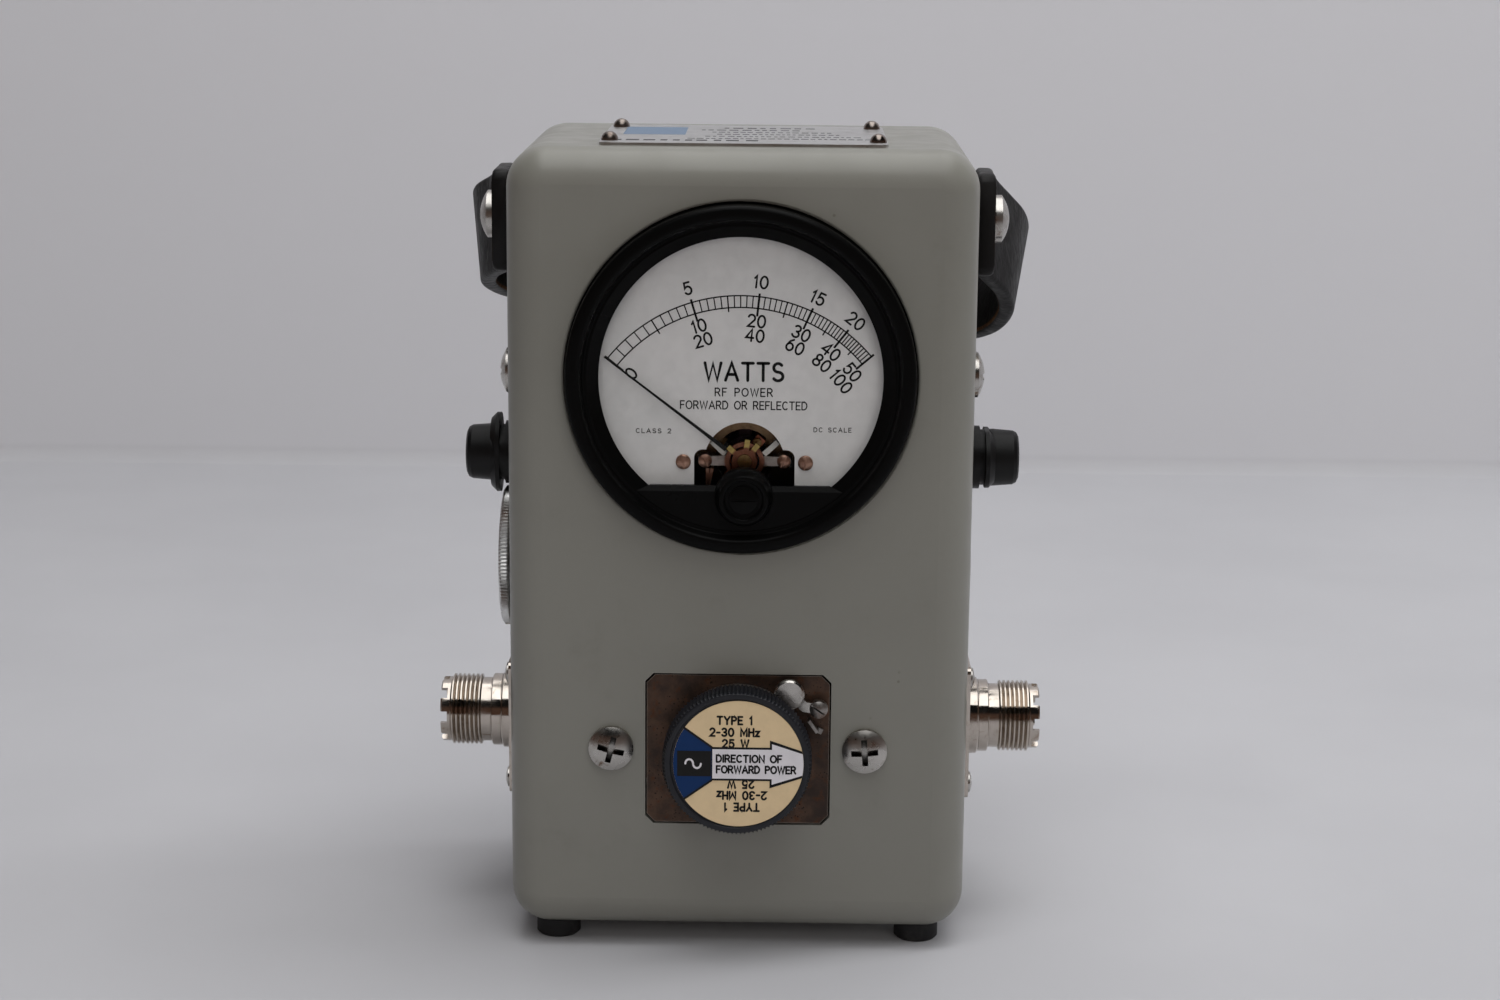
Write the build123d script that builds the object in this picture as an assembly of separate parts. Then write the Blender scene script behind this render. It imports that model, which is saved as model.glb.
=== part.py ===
from build123d import *
import os
from math import atan2, cos, degrees, hypot, pi, radians, sin, tan

# A portable through-line radio-frequency wattmeter. Millimetres, +Z up.
# While a piece is modelled, Y is its depth behind the housing's front face and Z is its
# height above the surface that the feet stand on. Each piece is moved by FRONT_Y as it is
# written, which puts the origin under the middle of the whole instrument.

# ---- housing ----
WIDTH = 99.5
DEPTH = 72.5
SPLIT_Y = 54.5
BASE_Z = 4.0
TOP_Z = 175.0
MID_Z = (BASE_Z + TOP_Z) / 2
WALL = 3.2
CORNER_R = 8.5
FRONT_R = 7.5
BACK_R = 6.0
SIDE_X = WIDTH / 2
INNER_X = SIDE_X - WALL
BOSS_X, BOSS_R = 42.3, 4.7
BOSS_ZS = (11.4, 167.6)
METER_HOLE_ROUND = 0.6

# ---- feet, bumpers and nameplate ----
FOOT_X, FOOT_R = 39.8, 4.85
FOOT_YS = (10.4, 62.0)
BUMPER_R, BUMPER_H = 6.0, 3.0
BUMPER_X, BUMPER_ZS = 36.0, (24.0, 112.0)
PLATE_X, PLATE_Y0, PLATE_Y1, PLATE_T = 30.5, 9.0, 56.0, 0.6
RIVET_PLACES, RIVET_R = ((28.5, 15.5), (28.0, 50.0)), 1.85

# ---- panel meter ----
METER_Z = 127.0
BEZEL_R, BEZEL_PROUD = 37.0, 4.0
WINDOW_R, GROOVE_R = 30.0, 33.2
SEGMENT_TOP_Z, SEGMENT_Y = 104.3, -2.0
ADJUST_Z = 101.95
ADJUST_BOSS_R, ADJUST_RECESS_R, ADJUST_HEAD_R = 6.3, 4.2, 3.0
PIVOT_X, PIVOT_Z = 0.85, 108.6
DIAL_Y, DIAL_T, DIAL_R = 3.2, 0.5, 33.6
DIAL_SCREW_X = 13.0
ARCH_R, SHOULDER_X, SHOULDER_Z, SHOULDER_R = 8.6, 10.7, 111.3, 1.8
NEEDLE_Y, FOOT_Y = 2.2, 7.2
POINTER_LENGTH = 37.35
POINTER_REST = 142.8
POINTER_SWEEP = 101.0
BRIDGE_X, BRIDGE_Y0, BRIDGE_Y1 = 8.4, 4.4, 5.4
BRIDGE_RING_R, BRIDGE_EYE_R = 4.1, 3.2
CORRECTOR_Y0, CORRECTOR_Y1 = 3.8, 4.2
YOKE_Y0, YOKE_Y1 = 8.6, 19.0
YOKE_R, GAP_R, CORE_R = 13.2, 6.2, 4.4
COIL_Y0, COIL_Y1, COIL_HALF, COIL_WIRE = 8.1, 19.5, 5.7, 1.05
STAFF_R = 0.6
STOP_OUT, STOP_IN = (7.05, 4.0), (4.15, 1.25)
PILLAR_X, PILLAR_Z = 12.0, 103.0
CASE_R, CASE_BACK_Y = 34.2, 32.0
TERMINAL_X, TERMINAL_Z = 12.0, 127.0
BAND_Y0, BAND_Y1 = 11.0, 25.0
SIDE_SCREW_Y, SIDE_SCREW_Z = 18.0, 125.5

# ---- radio-frequency line ----
RF_Y, RF_Z = 28.0, 46.0
LINE_W, LINE_H, LINE_CHAMFER = 39.4, 33.2, 1.8
LINE_FACE_Y = 0.3
LINE_BORE_R, CONDUCTOR_R = 10.0, 4.35
LINE_END_X = 46.4
SOCKET_R, SOCKET_DEPTH = 12.75, 20.0
DC_Y, DC_BUSH_R = 10.0, 3.0
DC_TOP = RF_Z + LINE_H / 2
PANEL_SCREW_X, PANEL_SCREW_TURN = 27.4, 14.0
FLANGE, FLANGE_X = 30.0, 50.9
FLANGE_SCREW = 12.0
PORT_END_X = 67.1
THREAD_X0, THREAD_X1, THREADS = 58.0, 65.0, 7
THREAD_R, THREAD_ROOT_R = 7.94, 7.3
POST_END_X = 65.6
CONTACT_HOLE_R, CONTACT_HOLE_DEPTH = 2.0, 8.0

# ---- plug-in element and its catch ----
PLUG_R, KNOB_R, KNOB_PROUD = 12.66, 16.0, 11.0
GRIP_LENGTH = 6.6
LABEL_R = 14.2
CATCH_HEAD = (11.0, 59.2)
CATCH_PIVOT = (17.3, 55.85)

# ---- element storage ----
STORE_Y, STORE_Z = 32.0, 81.0
STORE_RIM_R, STORE_FACE_X = 15.7, 53.3
SOCKET_IN_X = 29.0
TURN_Y, TURN_Z = 30.0, 105.0
OVAL_X0, OVAL_X1, GRIP_END_X = 53.6, 55.7, 61.1

# ---- carrying strap ----
STRAP_Y, STRAP_Z = 30.0, 158.0
STRAP_W, STRAP_T = 22.0, 3.7
STRAP_REACH = 54.0
STRAP_TILT, STRAP_BEND_Y = 24.0, 2.0
SIDE_GAP = 0.3
TAB_X = SIDE_X + SIDE_GAP + STRAP_T / 2

REAR_Y = STRAP_Y + STRAP_REACH + STRAP_T
FRONT_Y = (KNOB_PROUD - REAR_Y) / 2

os.makedirs("parts", exist_ok=True)


def save(name, *solids):
    """Write one named sub-part, as a lone solid or as a group of separate ones."""
    shape = solids[0] if len(solids) == 1 else Compound(children=[Part(s.wrapped) for s in solids])
    export_step(Pos(0, FRONT_Y, 0) * shape, f"parts/{name}.step")


def block(x0, x1, y0, y1, z0, z1):
    middle = Pos((x0 + x1) / 2, (y0 + y1) / 2, (z0 + z1) / 2)
    return middle * Box(abs(x1 - x0), abs(y1 - y0), abs(z1 - z0))


def rod_x(r, x0, x1, y, z):
    return Pos((x0 + x1) / 2, y, z) * Rot(0, 90, 0) * Cylinder(r, abs(x1 - x0))


def rod_y(r, y0, y1, x, z):
    return Pos(x, (y0 + y1) / 2, z) * Rot(90, 0, 0) * Cylinder(r, abs(y1 - y0))


def rod_z(r, z0, z1, x, y):
    return Pos(x, y, (z0 + z1) / 2) * Cylinder(r, abs(z1 - z0))


def turned_x(points, y, z):
    """A turned part on an axis along X. Each point is (x, radius)."""
    return Pos(0, y, z) * revolve(Polygon(*points, align=None), Axis.X)


def turned_y(points, x, z):
    """A turned part on an axis along Y. Each point is (depth, radius)."""
    return Pos(x, 0, z) * revolve(Polygon(*[(r, y) for y, r in points], align=None), Axis.Y)


def both_sides(piece):
    """The piece and its mirror image across the middle of the instrument."""
    return piece, mirror(piece, Plane.YZ)


def outline_block(margin, y0, y1):
    """The housing's rounded outline, drawn margin inside it, between two depths."""
    outline = RectangleRounded(WIDTH - 2 * margin, TOP_Z - BASE_Z - 2 * margin, CORNER_R - margin)
    plane = Plane((0, y0, MID_Z), x_dir=(1, 0, 0), z_dir=(0, 1, 0))
    return extrude(plane * outline, y1 - y0)


def flat_link(start, end, half_width, y0, y1):
    """A straight flat bar between two points of the front, from one depth to another."""
    run = hypot(end[0] - start[0], end[1] - start[1])
    turn = degrees(atan2(end[1] - start[1], end[0] - start[0]))
    bar = block(0, run, y0, y1, -half_width, half_width)
    return Pos(start[0], 0, start[1]) * Rot(0, -turn, 0) * bar


def cut_corner_block(width, height, chamfer, y0, y1, z):
    """A block along Y with its four long edges cut off."""
    w, h, c = width / 2, height / 2, chamfer
    right = [(w, h - c), (w - c, h), (c - w, h), (-w, h - c)]
    points = right + [(-x, -v) for x, v in right]
    plane = Plane((0, y0, z), x_dir=(1, 0, 0), z_dir=(0, 1, 0))
    return extrude(plane * Polygon(*points, align=None), y1 - y0)


def screw(head_r, head_h, shank_r, length, drive):
    """A domed screw. The head's underside is at the origin, its top faces +Z."""
    crown = head_h * 0.55
    arc_r = (head_r**2 + crown**2) / (2 * crown)
    dome = Pos(0, 0, head_h - arc_r) * Sphere(arc_r)
    head = Pos(0, 0, head_h / 2) * Cylinder(head_r, head_h) & dome
    body = head + Pos(0, 0, -length / 2) * Cylinder(shank_r, length)
    slot_w = head_r * 0.26
    if drive == "cross":
        depth = head_h * 0.75
        cut = Box(slot_w, head_r * 1.2, 2 * depth) + Box(head_r * 1.2, slot_w, 2 * depth)
        cut += Rot(0, 0, 45) * Box(slot_w * 1.5, slot_w * 1.5, 2 * depth)
    else:
        cut = Box(2.2 * head_r, slot_w * 0.8, head_h)
    return body - Pos(0, 0, head_h) * cut


FACE_FRONT = Rot(90, 0, 0)
FACE_BACK = Rot(-90, 0, 0)
FACE_RIGHT = Rot(0, 90, 0)
FACE_DOWN = Rot(180, 0, 0)


# ================= housing and rear cover =================

def make_housing():
    shell = outline_block(0, 0, SPLIT_Y)
    shell = fillet(shell.faces().sort_by(Axis.Y)[0].edges(), FRONT_R)
    hollow = outline_block(WALL, WALL, SPLIT_Y + 1)
    hollow = fillet(hollow.faces().sort_by(Axis.Y)[0].edges(), FRONT_R - WALL)
    shell -= hollow
    for z in BOSS_ZS:
        for x in (-BOSS_X, BOSS_X):
            shell += rod_y(BOSS_R, WALL - 0.5, SPLIT_Y, x, z)
            shell -= rod_y(1.6, SPLIT_Y - 14, SPLIT_Y + 1, x, z)
    shell -= rod_y(BEZEL_R + 0.4, -1, WALL + 1, 0, METER_Z)
    circles = shell.edges().filter_by(GeomType.CIRCLE)
    hole_rim = [edge for edge in circles if abs(edge.radius - BEZEL_R - 0.4) < 0.01 and edge.center().Y < 0.1]
    shell = fillet(hole_rim, METER_HOLE_ROUND)
    shell -= cut_corner_block(LINE_W + 0.7, LINE_H + 0.7, LINE_CHAMFER, -1, WALL + 1, RF_Z - 0.2)
    for x in (-PANEL_SCREW_X, PANEL_SCREW_X):
        shell -= rod_y(2.5, -1, WALL + 1, x, RF_Z)
    for side in (-1, 1):
        wall = (side * (INNER_X - 1), side * (SIDE_X + 1))
        half = FLANGE / 2 + 0.3
        shell -= block(*wall, RF_Y - half, RF_Y + half, RF_Z - half, RF_Z + half)
        shell -= rod_x(14.4, *wall, STORE_Y, STORE_Z)
        shell -= rod_x(2.08, *wall, TURN_Y, TURN_Z)
        shell -= rod_x(2.4, *wall, STRAP_Y, STRAP_Z)
        shell -= rod_x(2.4, *wall, SIDE_SCREW_Y, SIDE_SCREW_Z)
        shell -= rod_z(1.5, BASE_Z - 1, BASE_Z + 5, side * FOOT_X, FOOT_YS[0])
        for x, y in RIVET_PLACES:
            shell -= rod_z(1.0, TOP_Z - WALL - 1, TOP_Z + 1, side * x, y)
    return shell


def make_rear_cover():
    shell = outline_block(0, SPLIT_Y, DEPTH)
    shell = fillet(shell.faces().sort_by(Axis.Y)[-1].edges(), BACK_R)
    shell -= outline_block(WALL, SPLIT_Y - 1, DEPTH - WALL)
    lip = outline_block(WALL + 0.15, SPLIT_Y - 2, SPLIT_Y)
    lip -= outline_block(WALL + 1.4, SPLIT_Y - 3, SPLIT_Y + 1)
    for z in BOSS_ZS:
        for x in (-BOSS_X, BOSS_X):
            lip -= rod_y(BOSS_R + 0.3, SPLIT_Y - 3, SPLIT_Y, x, z)
    web = outline_block(WALL - 0.5, SPLIT_Y, SPLIT_Y + 3)
    web -= outline_block(WALL + 1.4, SPLIT_Y - 1, SPLIT_Y + 4)
    shell += web
    shell += lip
    for z in BOSS_ZS:
        for x in (-BOSS_X, BOSS_X):
            shell += rod_y(BOSS_R, SPLIT_Y, DEPTH - WALL + 0.5, x, z)
            shell -= rod_y(1.9, SPLIT_Y - 1, DEPTH + 1, x, z)
            shell -= rod_y(3.9, DEPTH - 2.6, DEPTH + 1, x, z)
    for x in (-BUMPER_X, BUMPER_X):
        shell -= rod_z(1.5, BASE_Z - 1, BASE_Z + WALL + 1, x / BUMPER_X * FOOT_X, FOOT_YS[1])
        for z in BUMPER_ZS:
            shell -= rod_y(1.6, DEPTH - WALL - 1, DEPTH + 1, x, z)
    return shell


save("housing", make_housing())
save("rear_cover", make_rear_cover())

cover_screw = screw(3.7, 2.4, 1.55, DEPTH - 2.6 - SPLIT_Y + 12, "cross")
save("rear_cover_screws", *[Pos(x, DEPTH - 2.6, z) * FACE_BACK * cover_screw
                            for x in (-BOSS_X, BOSS_X) for z in BOSS_ZS])

bumper = turned_y([(DEPTH - WALL - 0.6, 0), (DEPTH - WALL - 0.6, 2.0), (DEPTH - WALL, 1.55), (DEPTH, 1.55),
                   (DEPTH, BUMPER_R), (DEPTH + BUMPER_H, BUMPER_R - 0.9), (DEPTH + BUMPER_H, 0)], 0, 0)
save("rear_bumpers", *[Pos(x, 0, z) * bumper for x in (-BUMPER_X, BUMPER_X) for z in BUMPER_ZS])

foot = rod_z(FOOT_R, 0, BASE_Z, 0, 0)
foot = chamfer(foot.edges().group_by(Axis.Z)[0], 0.5)
foot -= rod_z(3.0, -1, 1.6, 0, 0)
foot -= rod_z(1.5, -1, BASE_Z + 1, 0, 0)
foot_screw = screw(2.7, 1.2, 1.45, 6.4, "slot")
foot_places = [(side * FOOT_X, y) for side in (-1, 1) for y in FOOT_YS]
save("feet", *[Pos(x, y, 0) * foot for x, y in foot_places])
save("foot_screws", *[Pos(x, y, 1.6) * FACE_DOWN * foot_screw for x, y in foot_places])

plate = block(-PLATE_X, PLATE_X, PLATE_Y0, PLATE_Y1, TOP_Z, TOP_Z + PLATE_T)
plate = fillet(plate.edges().filter_by(Axis.Z), 2.0)
rivet = Sphere(RIVET_R) & Pos(0, 0, RIVET_R) * Box(2 * RIVET_R, 2 * RIVET_R, 2 * RIVET_R)
rivet += Pos(0, 0, -2.1) * Cylinder(0.98, 4.4)
rivets = []
for side in (-1, 1):
    for x, y in RIVET_PLACES:
        plate -= rod_z(1.0, TOP_Z - 1, TOP_Z + 2, side * x, y)
        rivets.append(Pos(side * x, y, TOP_Z + PLATE_T) * rivet)
save("nameplate", plate)
save("nameplate_rivets", *rivets)

# ================= panel meter =================

def make_bezel():
    """A ring with a rounded crest, a step down to a sloping inside, and a flat segment across its foot."""
    front = -BEZEL_PROUD
    ring = [(3.0, BEZEL_R), (front + 1.8, BEZEL_R), (front + 0.55, BEZEL_R - 0.5), (front, BEZEL_R - 1.5),
            (front, BEZEL_R - 2.4), (front + 0.6, BEZEL_R - 3.2), (SEGMENT_Y, GROOVE_R),
            (SEGMENT_Y, GROOVE_R - 0.6), (0.2, WINDOW_R), (0.2, CASE_R + 0.1), (3.0, CASE_R + 0.1)]
    bezel = turned_y(ring, 0, METER_Z)
    segment = rod_y(GROOVE_R - 0.4, SEGMENT_Y, 0.2, 0, METER_Z)
    segment &= block(-40, 40, -3, 1, METER_Z - 40, SEGMENT_TOP_Z)
    boss_front = front - 0.8
    boss_side = [(0.2, 0), (0.2, ADJUST_BOSS_R), (SEGMENT_Y, ADJUST_BOSS_R), (boss_front, ADJUST_BOSS_R - 1.1)]
    boss = turned_y([*boss_side, (boss_front, 0)], PIVOT_X, ADJUST_Z)
    bezel += segment
    bezel += boss
    bezel -= rod_y(ADJUST_RECESS_R, -6, front + 0.2, PIVOT_X, ADJUST_Z)
    bezel -= rod_y(1.68, -6, 1, PIVOT_X, ADJUST_Z)
    return bezel


save("meter_bezel", make_bezel())
save("meter_window", rod_y(CASE_R, 0.25, 1.4, 0, METER_Z) - rod_y(2.4, 0, 2, PIVOT_X, ADJUST_Z))

case = turned_y([(1.5, CASE_R - 1.8), (1.5, CASE_R), (CASE_BACK_Y - 1.5, CASE_R), (CASE_BACK_Y, CASE_R - 1.5),
                 (CASE_BACK_Y, 0), (CASE_BACK_Y - 1.8, 0), (CASE_BACK_Y - 1.8, CASE_R - 1.8)], 0, METER_Z)
for x in (-TERMINAL_X, TERMINAL_X):
    case -= rod_y(1.6, CASE_BACK_Y - 3, CASE_BACK_Y + 1, x, TERMINAL_Z)
save("meter_case", case)

gasket = rod_y(BEZEL_R + 4, WALL + 0.1, WALL + 3, 0, METER_Z) - rod_y(CASE_R + 0.3, 0, WALL + 4, 0, METER_Z)
save("meter_gasket", gasket)

band = rod_y(CASE_R + 2.0, BAND_Y0, BAND_Y1, 0, METER_Z)
for side in (-1, 1):
    ends = (side * 30, side * (INNER_X - 0.1))
    band += block(*ends, BAND_Y0 + 2, BAND_Y1 - 2, SIDE_SCREW_Z - 7, SIDE_SCREW_Z + 7)
band -= rod_y(CASE_R + 0.2, BAND_Y0 - 1, BAND_Y1 + 1, 0, METER_Z)
for side in (-1, 1):
    band -= rod_x(2.3, side * (CASE_R + 2.5), side * SIDE_X, SIDE_SCREW_Y, SIDE_SCREW_Z)
save("meter_mounting_band", band)
side_screw = screw(4.9, 2.7, 2.25, 11.0, "cross")
save("meter_side_screws", *both_sides(Pos(SIDE_X, SIDE_SCREW_Y, SIDE_SCREW_Z) * FACE_RIGHT * side_screw))

# ---- the moving-coil movement ----
def at_pivot(piece):
    """Move a movement part, drawn around the origin of the front view, to the pointer's pivot."""
    return Pos(PIVOT_X, 0, PIVOT_Z) * piece


def make_scale_plate():
    plate = rod_y(DIAL_R - 1.3, DIAL_Y, DIAL_Y + DIAL_T, 0, METER_Z)
    plate &= block(-40, 40, 0, 10, METER_Z - 28, METER_Z + 40)
    height = 2 * (SHOULDER_Z - 90)
    plane = Plane((PIVOT_X, 0, 90), x_dir=(1, 0, 0), z_dir=(0, 1, 0))
    plate -= extrude(plane * RectangleRounded(2 * SHOULDER_X, height, SHOULDER_R), 10)
    plate -= at_pivot(rod_y(ARCH_R, 0, 10, 0, 0))
    for x in (-DIAL_SCREW_X, DIAL_SCREW_X):
        plate -= at_pivot(rod_y(0.95, 0, 10, x, 0))
    return plate


save("scale_plate", make_scale_plate())

yoke = rod_y(YOKE_R, YOKE_Y0, YOKE_Y1, 0, 0) - rod_y(GAP_R, 0, 30, 0, 0)
for side in (-1, 1):
    yoke += rod_y(1.8, DIAL_Y + DIAL_T, YOKE_Y0 + 4.5, side * DIAL_SCREW_X, 0)
    yoke -= rod_y(0.95, 0, YOKE_Y0 + 4, side * DIAL_SCREW_X, 0)
    yoke -= rod_y(0.85, 0, YOKE_Y0 + 4, side * BRIDGE_X, 0)
save("magnet_yoke", at_pivot(yoke))
core = rod_y(CORE_R, YOKE_Y0 + 0.6, YOKE_Y1 - 0.6, 0, 0)
core += block(-1.4, 1.4, 12.0, 15.6, -GAP_R, GAP_R) & rod_y(GAP_R - 0.02, 0, 30, 0, 0)
save("magnet_core", at_pivot(core))

bridge = block(-BRIDGE_X, BRIDGE_X, BRIDGE_Y0, BRIDGE_Y1, -1.0, 1.0)
for side in (-1, 1):
    bridge += rod_y(1.5, BRIDGE_Y0, YOKE_Y0, side * BRIDGE_X, 0)
bridge += rod_y(BRIDGE_RING_R, BRIDGE_Y0, BRIDGE_Y1, 0, 0)
bridge -= rod_y(BRIDGE_EYE_R, 0, 10, 0, 0)
bridge += rod_y(2.1, BRIDGE_Y0, BRIDGE_Y1, 0, 0)
bridge += block(-0.7, 0.7, BRIDGE_Y0, BRIDGE_Y1, -BRIDGE_RING_R + 0.2, 0)
bridge -= rod_y(1.5, 0, 10, 0, 0)
for side in (-1, 1):
    bridge -= rod_y(0.85, 0, 10, side * BRIDGE_X, 0)
save("front_bridge", at_pivot(bridge))
dial_screw = screw(1.6, 0.8, 0.9, 7.0, "slot")
bridge_screw = screw(1.45, 0.8, 0.8, 7.0, "slot")
lead_tags = []
for x, lean in ((-7.9, 0.0), (-6.9, 12.0)):
    tag = block(-0.35, 0.35, 5.6, 6.0, -4.4, 0) + block(-0.35, 0.35, 5.6, YOKE_Y0, -0.5, 0)
    lead_tags.append(Pos(x, 0, -1.9) * Rot(0, lean, 0) * tag)
movement_metal = [
    *both_sides(Pos(DIAL_SCREW_X, DIAL_Y, 0) * FACE_FRONT * Rot(0, 0, 80) * dial_screw),
    *both_sides(Pos(BRIDGE_X, BRIDGE_Y0, 0) * FACE_FRONT * Rot(0, 0, 60) * bridge_screw),
    *lead_tags,
]
save("movement_screws", *[at_pivot(piece) for piece in movement_metal])

rear_bridge = block(-13.5, 14.5, 20.6, 22.0, PIVOT_Z - 6.5, PIVOT_Z + 1.8)
for side in (-1, 1):
    rear_bridge += rod_y(2.0, YOKE_Y1, CASE_BACK_Y - 1.8, side * PILLAR_X, PILLAR_Z)
rear_bridge -= rod_y(1.5, 20, 23, PIVOT_X, PIVOT_Z)
save("rear_bridge", rear_bridge)
front_jewel = rod_y(1.5, 3.6, 5.6, 0, 0) - rod_y(STAFF_R + 0.05, 4.3, 6, 0, 0)
front_jewel -= block(-2, 2, 3, 3.9, -0.2, 0.2)
rear_jewel = rod_y(1.5, 20.4, 22.2, 0, 0) - rod_y(STAFF_R + 0.05, 20, 21.6, 0, 0)
save("jewel_bearings", at_pivot(front_jewel), at_pivot(rear_jewel))
stop = flat_link(STOP_OUT, STOP_IN, 0.57, BRIDGE_Y1 + 0.05, 6.7)
stop += rod_y(0.55, 6.5, YOKE_Y0, STOP_OUT[0] - 0.4, STOP_OUT[1] - 0.38)
save("pointer_stops", *[at_pivot(piece) for piece in both_sides(stop)])

stud = rod_y(1.55, CASE_BACK_Y - 4.0, CASE_BACK_Y + 10, 0, 0)
stud += rod_y(2.9, CASE_BACK_Y - 4.0, CASE_BACK_Y - 1.8, 0, 0)
nut_plane = Plane((0, CASE_BACK_Y, 0), x_dir=(1, 0, 0), z_dir=(0, 1, 0))
nut = extrude(nut_plane * RegularPolygon(3.1, 6), 2.4) - rod_y(1.6, 0, 60, 0, 0)
terminal_places = [(x, TERMINAL_Z) for x in (-TERMINAL_X, TERMINAL_X)]
save("terminal_studs", *[Pos(x, 0, z) * stud for x, z in terminal_places])


# ---- pieces that turn with the pointer ----
def pointer_turn(degrees_from_x):
    """Turn a piece drawn along +X at the pivot to an angle seen from the front."""
    return Pos(PIVOT_X, 0, PIVOT_Z) * Rot(0, -degrees_from_x, 0)


needle = [(4.9, -0.45), (4.9, 0.45), (12, 0.30), (POINTER_LENGTH, 0.15), (POINTER_LENGTH, -0.15),
          (12, -0.30)]
needle_plane = Plane((0, NEEDLE_Y, 0), x_dir=(1, 0, 0), z_dir=(0, 1, 0))
pointer = extrude(needle_plane * Polygon(*needle, align=None), 0.35)
pointer += block(4.9, 5.35, NEEDLE_Y, FOOT_Y + 0.5, -0.45, 0.45)
pointer += block(1.5, 5.35, FOOT_Y, FOOT_Y + 0.5, -0.45, 0.45)
pointer += rod_y(2.0, FOOT_Y, FOOT_Y + 0.5, 0, 0) - rod_y(STAFF_R, 0, 20, 0, 0)
pointer -= rod_y(STAFF_R, 0, 20, 0, 0)
for angle in (90, -90):
    pointer += Rot(0, angle, 0) * block(1.5, 5.4, FOOT_Y, FOOT_Y + 0.5, -0.3, 0.3)
save("pointer", pointer_turn(POINTER_REST) * pointer)
weight = rod_y(0.9, FOOT_Y - 0.35, FOOT_Y + 0.85, 4.4, 0) - block(3, 5.8, FOOT_Y, FOOT_Y + 0.5, -0.3, 0.3)
save("balance_weights", *[pointer_turn(POINTER_REST + angle) * weight for angle in (90, -90)])

coil = block(-COIL_HALF, COIL_HALF, COIL_Y0, COIL_Y1, -1.1, 1.1)
coil -= block(COIL_WIRE - COIL_HALF, COIL_HALF - COIL_WIRE, COIL_Y0 + 0.8, COIL_Y1 - 0.8, -2, 2)
save("moving_coil", pointer_turn(POINTER_SWEEP / 2) * coil)
staff_front = rod_y(STAFF_R, 4.5, COIL_Y0, 0, 0)
staff_rear = rod_y(STAFF_R, COIL_Y1, 21.4, 0, 0)
save("pointer_staffs", at_pivot(staff_front), at_pivot(staff_rear))


def hairspring(y0):
    """A flat spiral strip between the staff and its outer end."""
    turns, r0, r1, half, steps = 3.5, 0.95, 3.9, 0.1, 42
    angles = [2 * pi * turns * i / steps for i in range(steps + 1)]
    middle = [r0 + (r1 - r0) * i / steps for i in range(steps + 1)]
    inner = [((m - half) * cos(a), (m - half) * sin(a)) for m, a in zip(middle, angles)]
    outer = [((m + half) * cos(a), (m + half) * sin(a)) for m, a in zip(middle, angles)]
    sides = Spline(*inner) + Spline(*outer) + Line(inner[0], outer[0]) + Line(inner[-1], outer[-1])
    plane = Plane((PIVOT_X, y0, PIVOT_Z), x_dir=(1, 0, 0), z_dir=(0, 1, 0))
    return extrude(plane * make_face(sides.edges()), 0.25)


save("hairsprings", hairspring(6.5), hairspring(20.0))

# ---- zero adjuster ----
finger_z = 103.5
adjuster = Pos(0, -BEZEL_PROUD + 0.1, ADJUST_Z) * FACE_FRONT * screw(ADJUST_HEAD_R, 0.9, 1.6, 5.9, "slot")
adjuster += rod_y(1.9, 2.0, 2.6, 0, ADJUST_Z)
adjuster += rod_y(0.5, 2.4, CORRECTOR_Y1 + 0.1, 0, finger_z)
save("zero_adjust_screw", Pos(PIVOT_X, 0, 0) * adjuster)
corrector = rod_y(2.7, CORRECTOR_Y0, CORRECTOR_Y1, 0, 0)
corrector += block(-1.4, 1.4, CORRECTOR_Y0, CORRECTOR_Y1, -5.9, 0)
for angle, length in ((138, 4.7), (82, 4.75), (52, 4.7)):
    tang = block(2.0, length, CORRECTOR_Y0, CORRECTOR_Y1, -0.55, 0.55)
    corrector += Rot(0, -angle, 0) * tang
corrector -= rod_y(1.62, 0, 10, 0, 0)
corrector -= block(-0.68, 0.68, 0, 10, -6.5, -3.4)
save("zero_corrector", at_pivot(corrector))

# ================= radio-frequency line section =================

def make_line_body():
    body = cut_corner_block(LINE_W, LINE_H, LINE_CHAMFER, LINE_FACE_Y, RF_Y + 16, RF_Z - 0.2)
    body += rod_x(15.0, -LINE_END_X, LINE_END_X, RF_Y, RF_Z)
    for side in (-1, 1):
        body += block(side * 41, side * LINE_END_X, RF_Y - 14.6, RF_Y + 14.6, RF_Z - 14.6, RF_Z + 14.6)
        body += block(side * 15, side * 33, WALL + 0.1, WALL + 6, RF_Z - 8, RF_Z + 8)
    body -= rod_x(LINE_BORE_R, -60, 60, RF_Y, RF_Z)
    body -= rod_y(SOCKET_R, -1, SOCKET_DEPTH, 0, RF_Z)
    for side in (-1, 1):
        body -= rod_y(2.4, 0, WALL + 5, side * PANEL_SCREW_X, RF_Z)
        for y in (-FLANGE_SCREW, FLANGE_SCREW):
            for z in (-FLANGE_SCREW, FLANGE_SCREW):
                body -= rod_x(1.45, side * 42, side * 50, RF_Y + y, RF_Z + z)
    body -= rod_z(DC_BUSH_R, RF_Z, RF_Z + 20, 0, DC_Y)
    body -= rod_y(1.05, 0, 4, *CATCH_PIVOT)
    return body


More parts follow.
